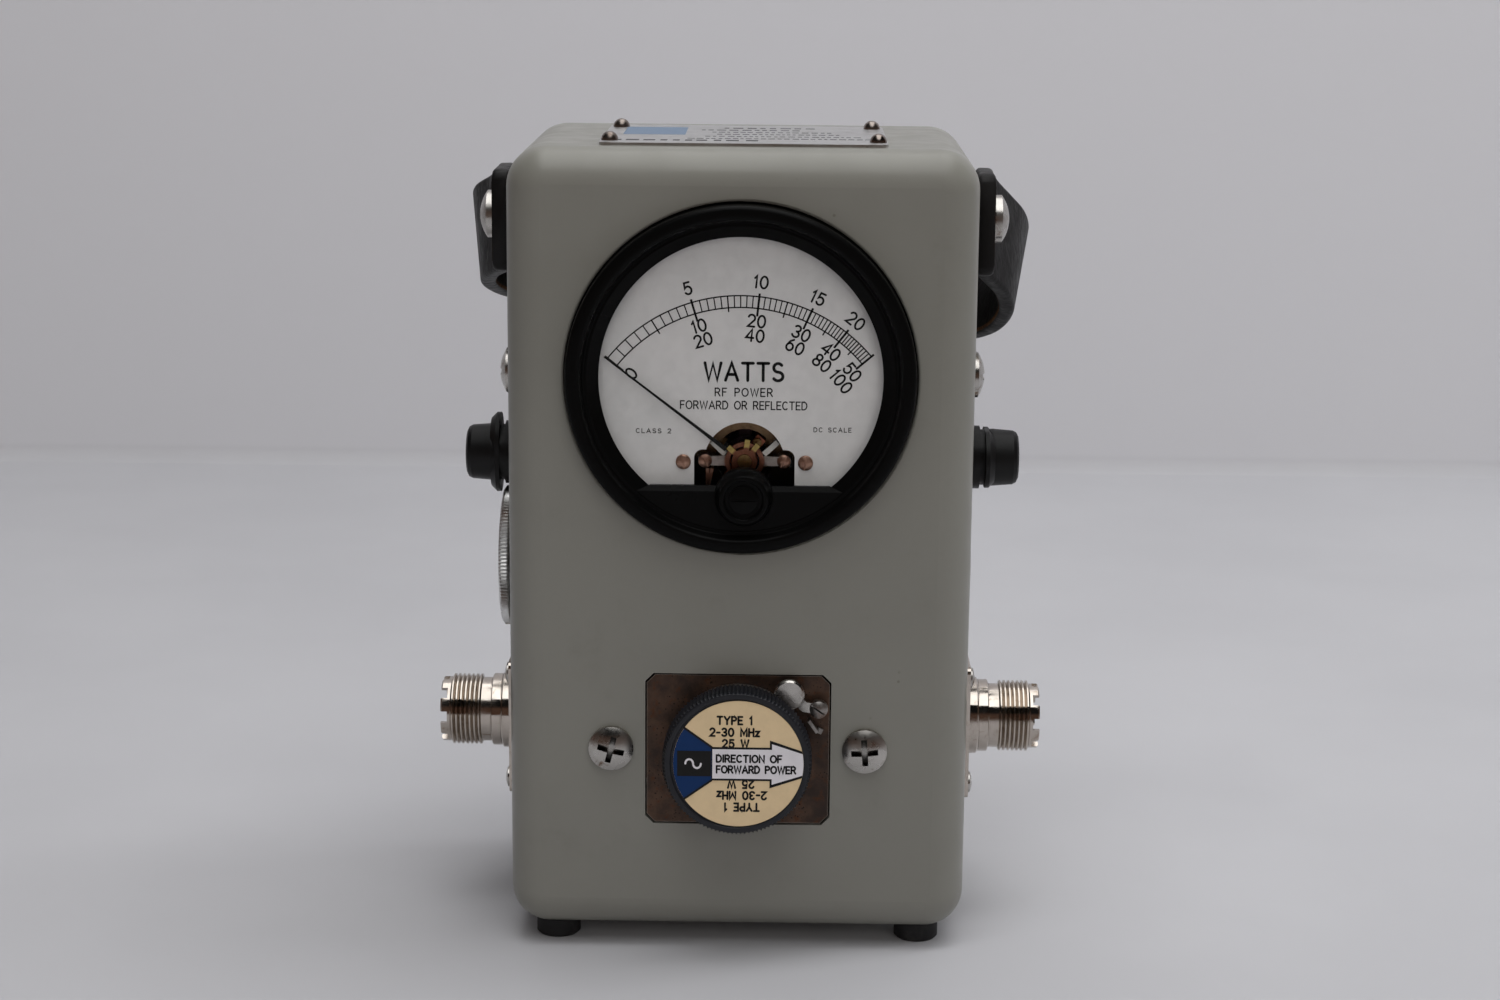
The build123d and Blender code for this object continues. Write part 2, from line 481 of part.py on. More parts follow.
save("line_body", make_line_body())
panel_screw = screw(4.85, 2.6, 2.3, WALL + 4.4, "cross")
left_screw = Pos(-PANEL_SCREW_X, 0, RF_Z) * FACE_FRONT * Rot(0, 0, -PANEL_SCREW_TURN) * panel_screw
right_screw = Pos(PANEL_SCREW_X, 0, RF_Z) * FACE_FRONT * Rot(0, 0, 4) * panel_screw
save("panel_screws", left_screw, right_screw)
conductor = rod_x(CONDUCTOR_R, -45.8, 45.8, RF_Y, RF_Z)
for side in (-1, 1):
    conductor -= rod_x(1.6, side * 41, side * 50, RF_Y, RF_Z)
save("centre_conductor", conductor)
bead = rod_x(LINE_BORE_R, 36, 40, RF_Y, RF_Z) - rod_x(CONDUCTOR_R, 30, 50, RF_Y, RF_Z)
save("line_insulators", *both_sides(bead))
dc_bush = rod_z(DC_BUSH_R, RF_Z + SOCKET_R + 0.8, DC_TOP, 0, DC_Y)
dc_bush += rod_z(4.6, DC_TOP, DC_TOP + 2, 0, DC_Y)
dc_bush += rod_z(DC_BUSH_R, DC_TOP, DC_TOP + 5, 0, DC_Y)
dc_bush -= rod_z(1.25, RF_Z, DC_TOP + 3.5, 0, DC_Y)
save("dc_contact_bush", dc_bush)
save("dc_contact_pin", rod_z(1.2, RF_Z + SOCKET_R + 0.15, DC_TOP + 2, 0, DC_Y))

cable_y = CASE_BACK_Y + 12
cable_turns = [(0, DC_Y, DC_TOP + 5), (0, DC_Y, DC_TOP + 16), (0, cable_y, DC_TOP + 28),
               (TERMINAL_X, cable_y, 112), (TERMINAL_X, cable_y - 4, TERMINAL_Z - 3)]
cable_path = FilletPolyline(*cable_turns, radius=[6, 8, 8])
cable_start = Plane(cable_path @ 0, z_dir=cable_path % 0)
save("meter_cable", sweep(cable_start * Circle(1.4), path=cable_path))
lug_y = CASE_BACK_Y + 3.0
lug = block(-1.9, 1.9, lug_y, lug_y + 0.8, -8, 0) + rod_y(3.0, lug_y, lug_y + 0.8, 0, 0)
lug -= rod_y(1.6, 0, 60, 0, 0)
nuts_and_lugs = [Pos(x, 0, z) * piece for x, z in terminal_places for piece in (nut, lug)]
save("terminal_nuts_and_lugs", *nuts_and_lugs)

# ---- connectors ----
def make_port_shell():
    pitch = (THREAD_X1 - THREAD_X0) / THREADS
    outside = [(FLANGE_X, 8.6), (53.1, 8.6), (53.4, 8.3), (53.4, 7.7), (53.6, 7.7), (53.6, 8.1), (55.5, 8.1),
               (55.7, 7.9), (55.7, 7.0), (56.0, 7.0), (56.0, 7.2), (THREAD_X0, 7.2)]
    for i in range(THREADS):
        x = THREAD_X0 + i * pitch
        outside += [(x + 0.3 * pitch, THREAD_R), (x + 0.6 * pitch, THREAD_R), (x + 0.95 * pitch, THREAD_ROOT_R)]
    outside += [(THREAD_X1, 7.25), (PORT_END_X - 0.3, 7.25), (PORT_END_X, 6.95)]
    seat_x = LINE_END_X + 0.05
    inside = [(PORT_END_X, 6.1), (57.0, 6.1), (57.0, 5.0), (seat_x, 5.0), (seat_x, 8.6)]
    shell = turned_x(outside + inside, RF_Y, RF_Z)
    half = FLANGE / 2
    flange = block(seat_x, FLANGE_X, RF_Y - half, RF_Y + half, RF_Z - half, RF_Z + half)
    flange = fillet(flange.edges().filter_by(Axis.X), 1.5)
    flange -= rod_x(5.0, 40, 60, RF_Y, RF_Z)
    shell += flange
    for y in (-FLANGE_SCREW, FLANGE_SCREW):
        for z in (-FLANGE_SCREW, FLANGE_SCREW):
            shell -= rod_x(1.6, 40, 60, RF_Y + y, RF_Z + z)
    for i in range(4):
        notch = block(PORT_END_X - 1.5, PORT_END_X + 1, -1.3, 1.3, -9, 9)
        shell -= Pos(0, RF_Y, RF_Z) * Rot(45 * i, 0, 0) * notch
    return shell


save("port_shells", *both_sides(make_port_shell()))
post_x = LINE_END_X + 0.1
post = turned_x([(post_x, 2.9), (post_x, 4.95), (57.0, 4.95), (57.2, 4.4), (POST_END_X, 4.4),
                 (POST_END_X, 2.9)], RF_Y, RF_Z)
save("port_insulators", *both_sides(post))
tip_x = POST_END_X + 0.2
hole_x = tip_x - CONTACT_HOLE_DEPTH
contact = turned_x([(42, 0), (42, 1.55), (47, 1.55), (47, 2.85), (tip_x, 2.85), (tip_x, CONTACT_HOLE_R),
                    (hole_x, CONTACT_HOLE_R), (hole_x, 0)], RF_Y, RF_Z)
save("port_contacts", *both_sides(contact))
flange_screw = screw(2.3, 1.0, 1.4, FLANGE_X - 43.5, "slot")
flange_screws = []
for y in (-FLANGE_SCREW, FLANGE_SCREW):
    for z in (-FLANGE_SCREW, FLANGE_SCREW):
        flange_screws += both_sides(Pos(FLANGE_X, RF_Y + y, RF_Z + z) * FACE_RIGHT * flange_screw)
save("flange_screws", *flange_screws)

# ---- plug-in element ----
grip_y = -KNOB_PROUD + GRIP_LENGTH
cap_floor_y = -GRIP_LENGTH - 0.05
plug = turned_y([(-GRIP_LENGTH, 0), (-GRIP_LENGTH, 12.0), (grip_y, 12.0), (-1.1, 12.9), (-1.1, 14.6),
                 (0.1, 14.6), (0.1, PLUG_R), (19.0, PLUG_R), (19.0, 7.0), (17.5, 7.0), (17.5, 0)], 0, RF_Z)
save("element_body", plug)
cap = turned_y([(-KNOB_PROUD + 0.5, 0), (-KNOB_PROUD + 0.5, LABEL_R), (-KNOB_PROUD, LABEL_R),
                (-KNOB_PROUD, KNOB_R - 0.7), (-KNOB_PROUD + 0.7, KNOB_R), (grip_y, KNOB_R), (grip_y, 12.05),
                (cap_floor_y, 12.05), (cap_floor_y, 0)], 0, RF_Z)
save("element_cap", cap)
save("element_label", rod_y(LABEL_R - 0.1, -KNOB_PROUD + 0.2, -KNOB_PROUD + 0.45, 0, RF_Z))
loop = block(-5.0, 5.0, 19.6, 20.2, RF_Z - 1.2, RF_Z + 1.2)
for x in (-5.0, 3.8):
    loop += block(x, x + 1.2, 17.5, 20.2, RF_Z - 1.2, RF_Z + 1.2)
save("coupling_loop", loop)

# ---- catch ----
NECK = (14.3, 56.3)
catch = rod_y(3.25, -3.9, -2.4, *CATCH_HEAD)
catch = chamfer(catch.edges().group_by(Axis.Y)[0], 0.35)
catch += flat_link(CATCH_HEAD, NECK, 1.1, -2.6, -1.4)
catch += rod_y(1.1, -2.6, -1.4, *NECK)
catch += flat_link(NECK, CATCH_PIVOT, 1.1, -2.6, -1.4)
catch += rod_y(2.0, -2.6, -1.4, *CATCH_PIVOT)
catch -= rod_y(1.08, -5, 1, *CATCH_PIVOT)
save("element_catch", catch)
catch_screw = FACE_FRONT * Rot(0, 0, -35) * screw(1.9, 1.1, 1.0, 5.8, "slot")
save("catch_screw", Pos(CATCH_PIVOT[0], -2.75, CATCH_PIVOT[1]) * catch_screw)
leaf_start, leaf_end, leaf_foot = (15.3, 53.2), (17.1, 50.6), (18.2, 50.1)
spring_leaf = flat_link(leaf_start, leaf_end, 0.35, -2.6, LINE_FACE_Y)
spring_leaf += flat_link(leaf_end, leaf_foot, 0.6, -0.4, LINE_FACE_Y)
save("catch_spring", spring_leaf)

# ================= element storage =================
cup = turned_x([(SOCKET_IN_X, 0), (SOCKET_IN_X, 14.2), (SIDE_X, 14.2), (SIDE_X, 15.6), (SIDE_X + 0.7, 15.3),
                (SIDE_X + 0.7, SOCKET_R), (SOCKET_IN_X + 1.4, SOCKET_R), (SOCKET_IN_X + 1.4, 0)],
               STORE_Y, STORE_Z)
save("storage_sockets", *both_sides(cup))
stored_body = turned_x([(-33, 0), (-33, 7.0), (-32, PLUG_R), (-51.0, PLUG_R), (-51.0, 0)], STORE_Y, STORE_Z)
save("stored_element_body", stored_body)
stored_cap = turned_x([(-51.05, 0), (-51.05, STORE_RIM_R - 0.3), (-51.4, STORE_RIM_R),
                       (-STORE_FACE_X + 0.4, STORE_RIM_R), (-STORE_FACE_X, STORE_RIM_R - 0.6),
                       (-STORE_FACE_X, LABEL_R), (-STORE_FACE_X + 0.4, LABEL_R), (-STORE_FACE_X + 0.4, 0)],
                      STORE_Y, STORE_Z)
save("stored_element_cap", stored_cap)


def make_turn_knob(turn):
    """A turn-button with an oval locking flange, its long way at the given angle from Z."""
    knob = turned_x([(SIDE_X + SIDE_GAP, 0), (SIDE_X + SIDE_GAP, 7.0), (52.5, 7.0), (52.5, 6.2), (OVAL_X0, 6.2),
                     (OVAL_X1 - 0.2, 6.35), (GRIP_END_X - 1.2, 6.0), (GRIP_END_X - 0.4, 5.6), (GRIP_END_X, 4.8),
                     (GRIP_END_X, 0)], 0, 0)
    plane = Plane((OVAL_X0, 0, 0), x_dir=(0, 1, 0), z_dir=(1, 0, 0))
    oval = extrude(plane * SlotCenterToCenter(5.2, 12.6, rotation=90), OVAL_X1 - OVAL_X0)
    oval = chamfer(oval.faces().sort_by(Axis.X)[-1].edges(), 1.2)
    knob += oval
    knob -= rod_x(2.0, 0, 58, 0, 0)
    return Pos(0, TURN_Y, TURN_Z) * Rot(turn, 0, 0) * knob


save("right_turn_knob", make_turn_knob(90))
save("left_turn_knob", mirror(make_turn_knob(0), Plane.YZ))
shaft = rod_x(2.0, 41.5, 58, TURN_Y, TURN_Z) + rod_x(3.4, 41.5, 43.2, TURN_Y, TURN_Z)
spring_washer = rod_x(4.6, 43.3, INNER_X - 0.05, TURN_Y, TURN_Z) - rod_x(2.1, 40, 50, TURN_Y, TURN_Z)
right_shaft, left_shaft = both_sides(shaft)
save("right_knob_shaft", right_shaft)
save("left_knob_shaft", left_shaft)
save("knob_spring_washers", *both_sides(spring_washer))

# ================= carrying strap =================

def strap_side_view():
    """The band seen from the side, around its screws: level end tabs, then a fall towards the back."""
    half = STRAP_W / 2
    fall = tan(radians(STRAP_TILT))
    slant_half = half / cos(radians(STRAP_TILT))
    shift = (slant_half - half) / fall
    front, back = -16.0, 60.0
    drop = (back - STRAP_BEND_Y) * fall
    upper = [(front, half), (STRAP_BEND_Y + shift, half), (back, slant_half - drop)]
    lower = [(back, -slant_half - drop), (STRAP_BEND_Y - shift, -half), (front, -half)]
    outline = Polygon(*upper, *lower, align=None)
    return extrude(Plane.YZ * outline, 70, both=True)


def make_strap():
    """A leather band that bows round the back of the housing between its two end tabs."""
    right = [(TAB_X, -14.5), (TAB_X, 8.5), (57.6, 21.0), (57.6, 38.0), (46.0, STRAP_REACH + STRAP_T / 2)]
    left = [(-x, s) for x, s in reversed(right)]
    path = FilletPolyline(*right, *left, radius=[10, 16, 14, 10, 10, 14, 16, 10])
    band = extrude(trace(path, STRAP_T), 50, both=True) & strap_side_view()
    band -= rod_x(2.48, -60, 60, 0, 0)
    return Pos(0, STRAP_Y, STRAP_Z) * band


save("carrying_strap", make_strap())
TAB_FACE_X = TAB_X + STRAP_T / 2
washer = rod_x(5.6, TAB_FACE_X + 0.05, TAB_FACE_X + 0.9, STRAP_Y, STRAP_Z)
washer -= rod_x(2.45, 50, 60, STRAP_Y, STRAP_Z)
save("strap_washers", *both_sides(washer))
strap_screw = screw(5.2, 3.1, 2.4, TAB_FACE_X + 0.9 - 42, "slot")
save("strap_screws", *both_sides(Pos(TAB_FACE_X + 0.9, STRAP_Y, STRAP_Z) * FACE_RIGHT * strap_screw))
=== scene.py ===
"""Looks for a through-line RF wattmeter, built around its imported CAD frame. Metres, +Z up, front faces -Y."""
import math
import random

import bmesh
import bpy
from mathutils import Matrix, Vector


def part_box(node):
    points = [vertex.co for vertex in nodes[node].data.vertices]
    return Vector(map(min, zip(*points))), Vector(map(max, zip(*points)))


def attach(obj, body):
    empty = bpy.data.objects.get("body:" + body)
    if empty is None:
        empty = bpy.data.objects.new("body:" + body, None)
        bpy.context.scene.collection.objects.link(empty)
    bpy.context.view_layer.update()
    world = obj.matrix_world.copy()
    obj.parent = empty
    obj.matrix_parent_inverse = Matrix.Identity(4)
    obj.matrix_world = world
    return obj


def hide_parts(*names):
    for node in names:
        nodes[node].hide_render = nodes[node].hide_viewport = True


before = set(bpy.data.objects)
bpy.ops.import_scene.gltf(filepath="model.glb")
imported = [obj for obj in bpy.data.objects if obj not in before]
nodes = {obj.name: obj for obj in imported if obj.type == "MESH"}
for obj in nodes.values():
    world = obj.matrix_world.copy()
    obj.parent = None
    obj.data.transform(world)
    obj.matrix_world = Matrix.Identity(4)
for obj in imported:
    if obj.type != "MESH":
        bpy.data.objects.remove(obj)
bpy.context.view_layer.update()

# -------------------- places read from the frame
def centre_of(node):
    """The middle of a CAD node's box."""
    low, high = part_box(node)
    return (low + high) / 2


FRONT_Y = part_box("housing")[0].y
bezel_low, bezel_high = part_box("meter_bezel")
METER_Z = (bezel_low.z + bezel_high.z) / 2
BEZEL_R = (bezel_high.x - bezel_low.x) / 2
DIAL_FACE_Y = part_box("scale_plate")[0].y
PIVOT = centre_of("pointer_staffs")
ELEMENT = centre_of("element_cap")
cap_low, cap_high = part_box("element_cap")
KNOB_R = (cap_high.x - cap_low.x) / 2
ADJUST = centre_of("zero_adjust_screw")


# -------------------- materials
class Look:
    """One material: its Principled shader and short ways to wire nodes into it."""

    def __init__(self, name, **values):
        self.material = bpy.data.materials.new(name)
        self.material.use_nodes = True
        self.tree = self.material.node_tree
        self.shader = self.tree.nodes["Principled BSDF"]
        for key, value in values.items():
            self.shader.inputs[key.replace("_", " ")].default_value = value
        self.place = self.node("ShaderNodeTexCoord").outputs["Object"]

    def node(self, kind, inputs=None, **settings):
        """Add a shader node. An input may be a value or another node's output."""
        made = self.tree.nodes.new(kind)
        for key, value in settings.items():
            setattr(made, key, value)
        for key, value in (inputs or {}).items():
            if isinstance(value, bpy.types.NodeSocket):
                self.tree.links.new(value, made.inputs[key])
            else:
                made.inputs[key].default_value = value
        return made

    def stretched(self, x, y, z):
        """The place with each axis scaled, which makes a texture finer along it."""
        made = self.node("ShaderNodeMapping", {"Vector": self.place, "Scale": (x, y, z)})
        return made.outputs["Vector"]

    def noise(self, scale, detail=4.0, roughness=0.55, vector=None, distortion=0.0):
        """Cloudy noise from 0 to 1. The scale counts features per metre."""
        return self.node("ShaderNodeTexNoise", {
            "Vector": vector or self.place, "Scale": scale, "Detail": detail,
            "Roughness": roughness, "Distortion": distortion}).outputs["Fac"]

    def cells(self, scale, feature="F1"):
        """Distance from the middle of scattered cells, which gives specks and pebbled grain."""
        made = self.node("ShaderNodeTexVoronoi", {"Vector": self.place, "Scale": scale}, feature=feature)
        return made.outputs["Distance"]

    def span(self, value, low, high, to_low=0.0, to_high=1.0):
        """Stretch the part of value between low and high over a new range, smoothly."""
        return self.node("ShaderNodeMapRange", {
            "Value": value, "From Min": low, "From Max": high, "To Min": to_low, "To Max": to_high},
            interpolation_type="SMOOTHSTEP").outputs["Result"]

    def product(self, a, b):
        """One value times another."""
        return self.node("ShaderNodeMath", {0: a, 1: b}, operation="MULTIPLY").outputs[0]

    def mix(self, factor, a, b):
        """Colour a where the factor is 0 and colour b where it is 1."""
        made = self.node("ShaderNodeMix", data_type="RGBA")
        for key, value in ((0, factor), (6, a), (7, b)):
            if isinstance(value, bpy.types.NodeSocket):
                self.tree.links.new(value, made.inputs[key])
            else:
                made.inputs[key].default_value = value if key == 0 else (*value, 1.0)
        return made.outputs[2]

    def edges(self, radius):
        """1 along outside and inside edges narrower than radius, 0 on flat ground."""
        soft = self.node("ShaderNodeBevel", {"Radius": radius}, samples=6).outputs["Normal"]
        hard = self.node("ShaderNodeNewGeometry").outputs["Normal"]
        same = self.node("ShaderNodeVectorMath", {0: soft, 1: hard}, operation="DOT_PRODUCT")
        return self.span(same.outputs["Value"], 0.995, 0.80)

    def wire(self, socket, value):
        """Feed a node's output into an input of the Principled shader."""
        self.tree.links.new(value, self.shader.inputs[socket])

    def show(self, shader):
        """Make a shader the material's surface instead of the plain Principled one."""
        self.tree.links.new(shader.outputs[0], self.tree.nodes["Material Output"].inputs["Surface"])

    def bump(self, height, distance, strength, below=None):
        """Raise the surface by a height texture, over an earlier bump if there is one."""
        inputs = {"Height": height, "Distance": distance, "Strength": strength}
        if below is not None:
            inputs["Normal"] = below
        made = self.node("ShaderNodeBump", inputs).outputs["Normal"]
        self.wire("Normal", made)
        return made


def paint(name, colour):
    """Satin baked enamel with a faint orange peel, grime in patches and scattered specks."""
    dirt = (0.10, 0.085, 0.06)
    look = Look(name, Roughness=0.36, Specular_IOR_Level=0.5)
    cloudy = look.noise(14.0, 5.0, 0.6)
    fine = look.noise(900.0, 3.0)
    tint = look.mix(look.span(cloudy, 0.35, 0.7), colour, [c * 0.93 for c in colour])
    tint = look.mix(look.product(fine, 0.10), tint, [c * 0.72 for c in colour])
    grime_and_hollow_shade = look.product(look.span(look.noise(55.0, 6.0, 0.7), 0.56, 0.80), 0.16)
    tint = look.mix(grime_and_hollow_shade, tint, dirt)
    specks = look.span(look.cells(240.0), 0.10, 0.055)
    rare = look.span(look.noise(70.0, 2.0), 0.60, 0.66)
    tint = look.mix(look.product(look.product(specks, rare), 0.5), tint, dirt)
    look.wire("Base Color", tint)
    look.wire("Roughness", look.span(look.noise(120.0, 4.0), 0.3, 0.7, 0.28, 0.40))
    peel = look.bump(look.noise(1500.0, 2.0, 0.5), 0.00002, 0.35)
    look.bump(look.noise(260.0, 3.0, 0.5), 0.00006, 0.25, below=peel)
    return look.material


def plastic(name, colour, roughness, grain, gloss=0.4):
    """Moulded plastic: slightly uneven gloss, fine dust, a faint surface grain."""
    look = Look(name, Roughness=roughness, Specular_IOR_Level=gloss)
    dust = look.span(look.noise(420.0, 5.0, 0.7), 0.62, 0.88)
    dusty = [c + 0.008 for c in colour]
    look.wire("Base Color", look.mix(look.product(dust, 0.5), colour, dusty))
    uneven = look.noise(90.0, 4.0)
    look.wire("Roughness", look.span(uneven, 0.3, 0.7, roughness - 0.05, roughness + 0.09))
    look.bump(look.noise(1400.0, 2.0), 0.00003, grain)
    return look.material


def metal(name, colour, roughness, tarnish, amount, grime_and_hollow_shade=0.0, brushed=None):
    """Plated or plain metal: uneven polish, tarnish in patches, painted shade in hollows, brushing along an
    axis.
    """
    look = Look(name, Metallic=1.0, Roughness=roughness)
    uneven = look.span(look.noise(160.0, 5.0, 0.65), 0.35, 0.75)
    tint = look.mix(uneven, colour, [c * 0.86 for c in colour])
    bloom = look.noise(320.0, 8.0, 0.72, distortion=0.6)
    patches = look.span(bloom, 0.62 - amount * 0.35, 0.78 - amount * 0.2)
    tint = look.mix(patches, tint, tarnish)
    if grime_and_hollow_shade:
        # Painted shade: the colour is darkened towards black in the hollows that the AO node finds.
        sky = look.node("ShaderNodeAmbientOcclusion", {"Distance": 0.0016}, samples=8, only_local=True)
        hollow_shade = look.span(sky.outputs["AO"], 0.45, 0.92, grime_and_hollow_shade, 0.0)
        tint = look.mix(hollow_shade, tint, (0.006, 0.005, 0.004))
    look.wire("Base Color", tint)
    polish = look.noise(230.0, 5.0)
    look.wire("Roughness", look.span(polish, 0.3, 0.7, max(0.05, roughness - 0.08), roughness + 0.12))
    grain = look.noise(900.0, 3.0, 0.5, vector=look.stretched(*brushed) if brushed else None)
    look.bump(grain, 0.00002, 0.4 if brushed else 0.15)
    return look.material


def tarnished_plate(name):
    """Old silver plate over brass: dark brown bloom, rusty speckle and pits, metal showing at the edges."""
    look = Look(name, Metallic=0.6, Roughness=0.45, Specular_IOR_Level=0.3)
    bloom = look.span(look.noise(130.0, 7.0, 0.7), 0.35, 0.68)
    base = look.mix(bloom, (0.040, 0.028, 0.023), (0.105, 0.062, 0.042))
    rust = look.span(look.noise(420.0, 8.0, 0.75), 0.52, 0.66)
    base = look.mix(look.product(rust, 0.7), base, (0.13, 0.050, 0.022))
    specks = look.span(look.cells(1400.0), 0.32, 0.16)
    sparse = look.span(look.noise(260.0, 3.0), 0.5, 0.6)
    base = look.mix(look.product(specks, sparse), base, (0.012, 0.009, 0.008))
    base = look.mix(look.product(look.edges(0.0003), 0.8), base, (0.34, 0.30, 0.26))
    look.wire("Base Color", base)
    look.wire("Roughness", look.span(rust, 0.0, 1.0, 0.38, 0.72))
    look.bump(look.noise(700.0, 6.0, 0.7), 0.00005, 0.5)
    return look.material


def rubber(name, colour):
    """Matt black rubber with dust on it."""
    look = Look(name, Roughness=0.68, Specular_IOR_Level=0.35)
    dust = look.span(look.noise(260.0, 6.0, 0.7), 0.5, 0.8)
    look.wire("Base Color", look.mix(look.product(dust, 0.6), colour, (0.07, 0.066, 0.06)))
    look.bump(look.noise(800.0, 4.0), 0.00006, 0.35)
    return look.material


def leather(name, colour, raw, edge_wear):
    """Dyed strap leather: pebbled grain, creases across it, dye rubbed off on the edges."""
    look = Look(name, Roughness=0.5, Specular_IOR_Level=0.16)
    pebble = look.cells(1150.0, feature="SMOOTH_F1")
    crease = look.noise(330.0, 5.0, 0.6, vector=look.stretched(1.0, 2.2, 0.7), distortion=0.8)
    patchy = look.span(look.noise(170.0, 5.0, 0.7), 0.42, 0.62)
    rubbed = look.product(look.edges(0.0007), patchy)
    tint = look.mix(look.span(look.noise(60.0, 4.0), 0.3, 0.7), colour, [c * 1.5 + 0.004 for c in colour])
    look.wire("Base Color", look.mix(look.product(rubbed, edge_wear), tint, raw))
    look.wire("Roughness", look.span(crease, 0.3, 0.7, 0.34, 0.56))
    first = look.bump(pebble, 0.00009, 0.55)
    look.bump(crease, 0.00016, 0.45, below=first)
    return look.material


def raw_leather(name):
    """The undyed cut edge and flesh side."""
    look = Look(name, Roughness=0.86, Specular_IOR_Level=0.2)
    fibres = look.noise(900.0, 8.0, 0.75)
    tint = look.mix(look.span(fibres, 0.3, 0.7), (0.055, 0.027, 0.015), (0.19, 0.092, 0.042))
    dark = look.span(look.noise(130.0, 5.0, 0.7), 0.45, 0.65)
    look.wire("Base Color", look.mix(look.product(dark, 0.75), tint, (0.022, 0.014, 0.010)))
    look.bump(fibres, 0.00015, 0.7)
    return look.material


def printed(name, colour, roughness=0.5):
    """Ink or enamel: nearly even, with the small unevenness of printing."""
    look = Look(name, Roughness=roughness, Specular_IOR_Level=0.18)
    uneven = look.span(look.noise(380.0, 5.0, 0.6), 0.3, 0.75)
    look.wire("Base Color", look.mix(uneven, colour, [c * 0.93 for c in colour]))
    look.bump(look.noise(1700.0, 2.0), 0.00001, 0.15)
    return look.material


def window_glass(name):
    """A thin clear window: light goes through, dimmed a little by dust, with a faint gloss on top."""
    look = Look(name, Roughness=0.04, Base_Color=(0.0, 0.0, 0.0, 1.0), Specular_IOR_Level=0.3)
    dust = look.span(look.noise(60.0, 5.0, 0.6), 0.3, 0.8)
    tint = look.mix(dust, (1.0, 1.0, 1.0), (0.97, 0.975, 0.975))
    clear = look.node("ShaderNodeBsdfTransparent", {"Color": tint})
    gloss_share = 0.02
    look.show(look.node("ShaderNodeMixShader", {
        0: gloss_share, 1: clear.outputs[0], 2: look.shader.outputs[0]}))
    return look.material


def two_metals(name, near, far, reach):
    """Metal of one colour close to the pointer's pivot and another further out."""
    look = Look(name, Metallic=1.0, Roughness=0.4)
    offset = look.node("ShaderNodeVectorMath", {0: look.place, 1: PIVOT}, operation="SUBTRACT")
    flat = look.node("ShaderNodeVectorMath", {0: offset.outputs[0], 1: (1.0, 0.0, 1.0)}, operation="MULTIPLY")
    away = look.node("ShaderNodeVectorMath", {0: flat.outputs[0]}, operation="LENGTH").outputs["Value"]
    uneven = look.span(look.noise(700.0, 5.0, 0.65), 0.3, 0.75)
    near_tint = look.mix(uneven, near, [c * 0.55 for c in near])
    far_tint = look.mix(uneven, far, [c * 0.7 for c in far])
    blur = 0.0003
    look.wire("Base Color", look.mix(look.span(away, reach - blur, reach + blur), near_tint, far_tint))
    look.bump(look.noise(900.0, 4.0), 0.00002, 0.2)
    return look.material


def blackened(name, colour, dark, level, reach):
    """Metal that is bright above a level of the object and dark below it: a painted shade, as inside a shaded
    case.
    """
    look = Look(name, Metallic=0.9, Roughness=0.4)
    height = look.node("ShaderNodeSeparateXYZ", {0: look.place}).outputs["Z"]
    # Painted shade: below the level the colour turns to the dark one.
    shade = look.span(height, level - reach, level + reach)
    mottle = look.span(look.noise(700.0, 5.0, 0.7), 0.2, 0.6, 0.55, 1.0)
    mottled = look.product(shade, mottle)
    look.wire("Base Color", look.mix(mottled, dark, colour))
    look.bump(look.noise(900.0, 4.0), 0.00003, 0.3)
    return look.material
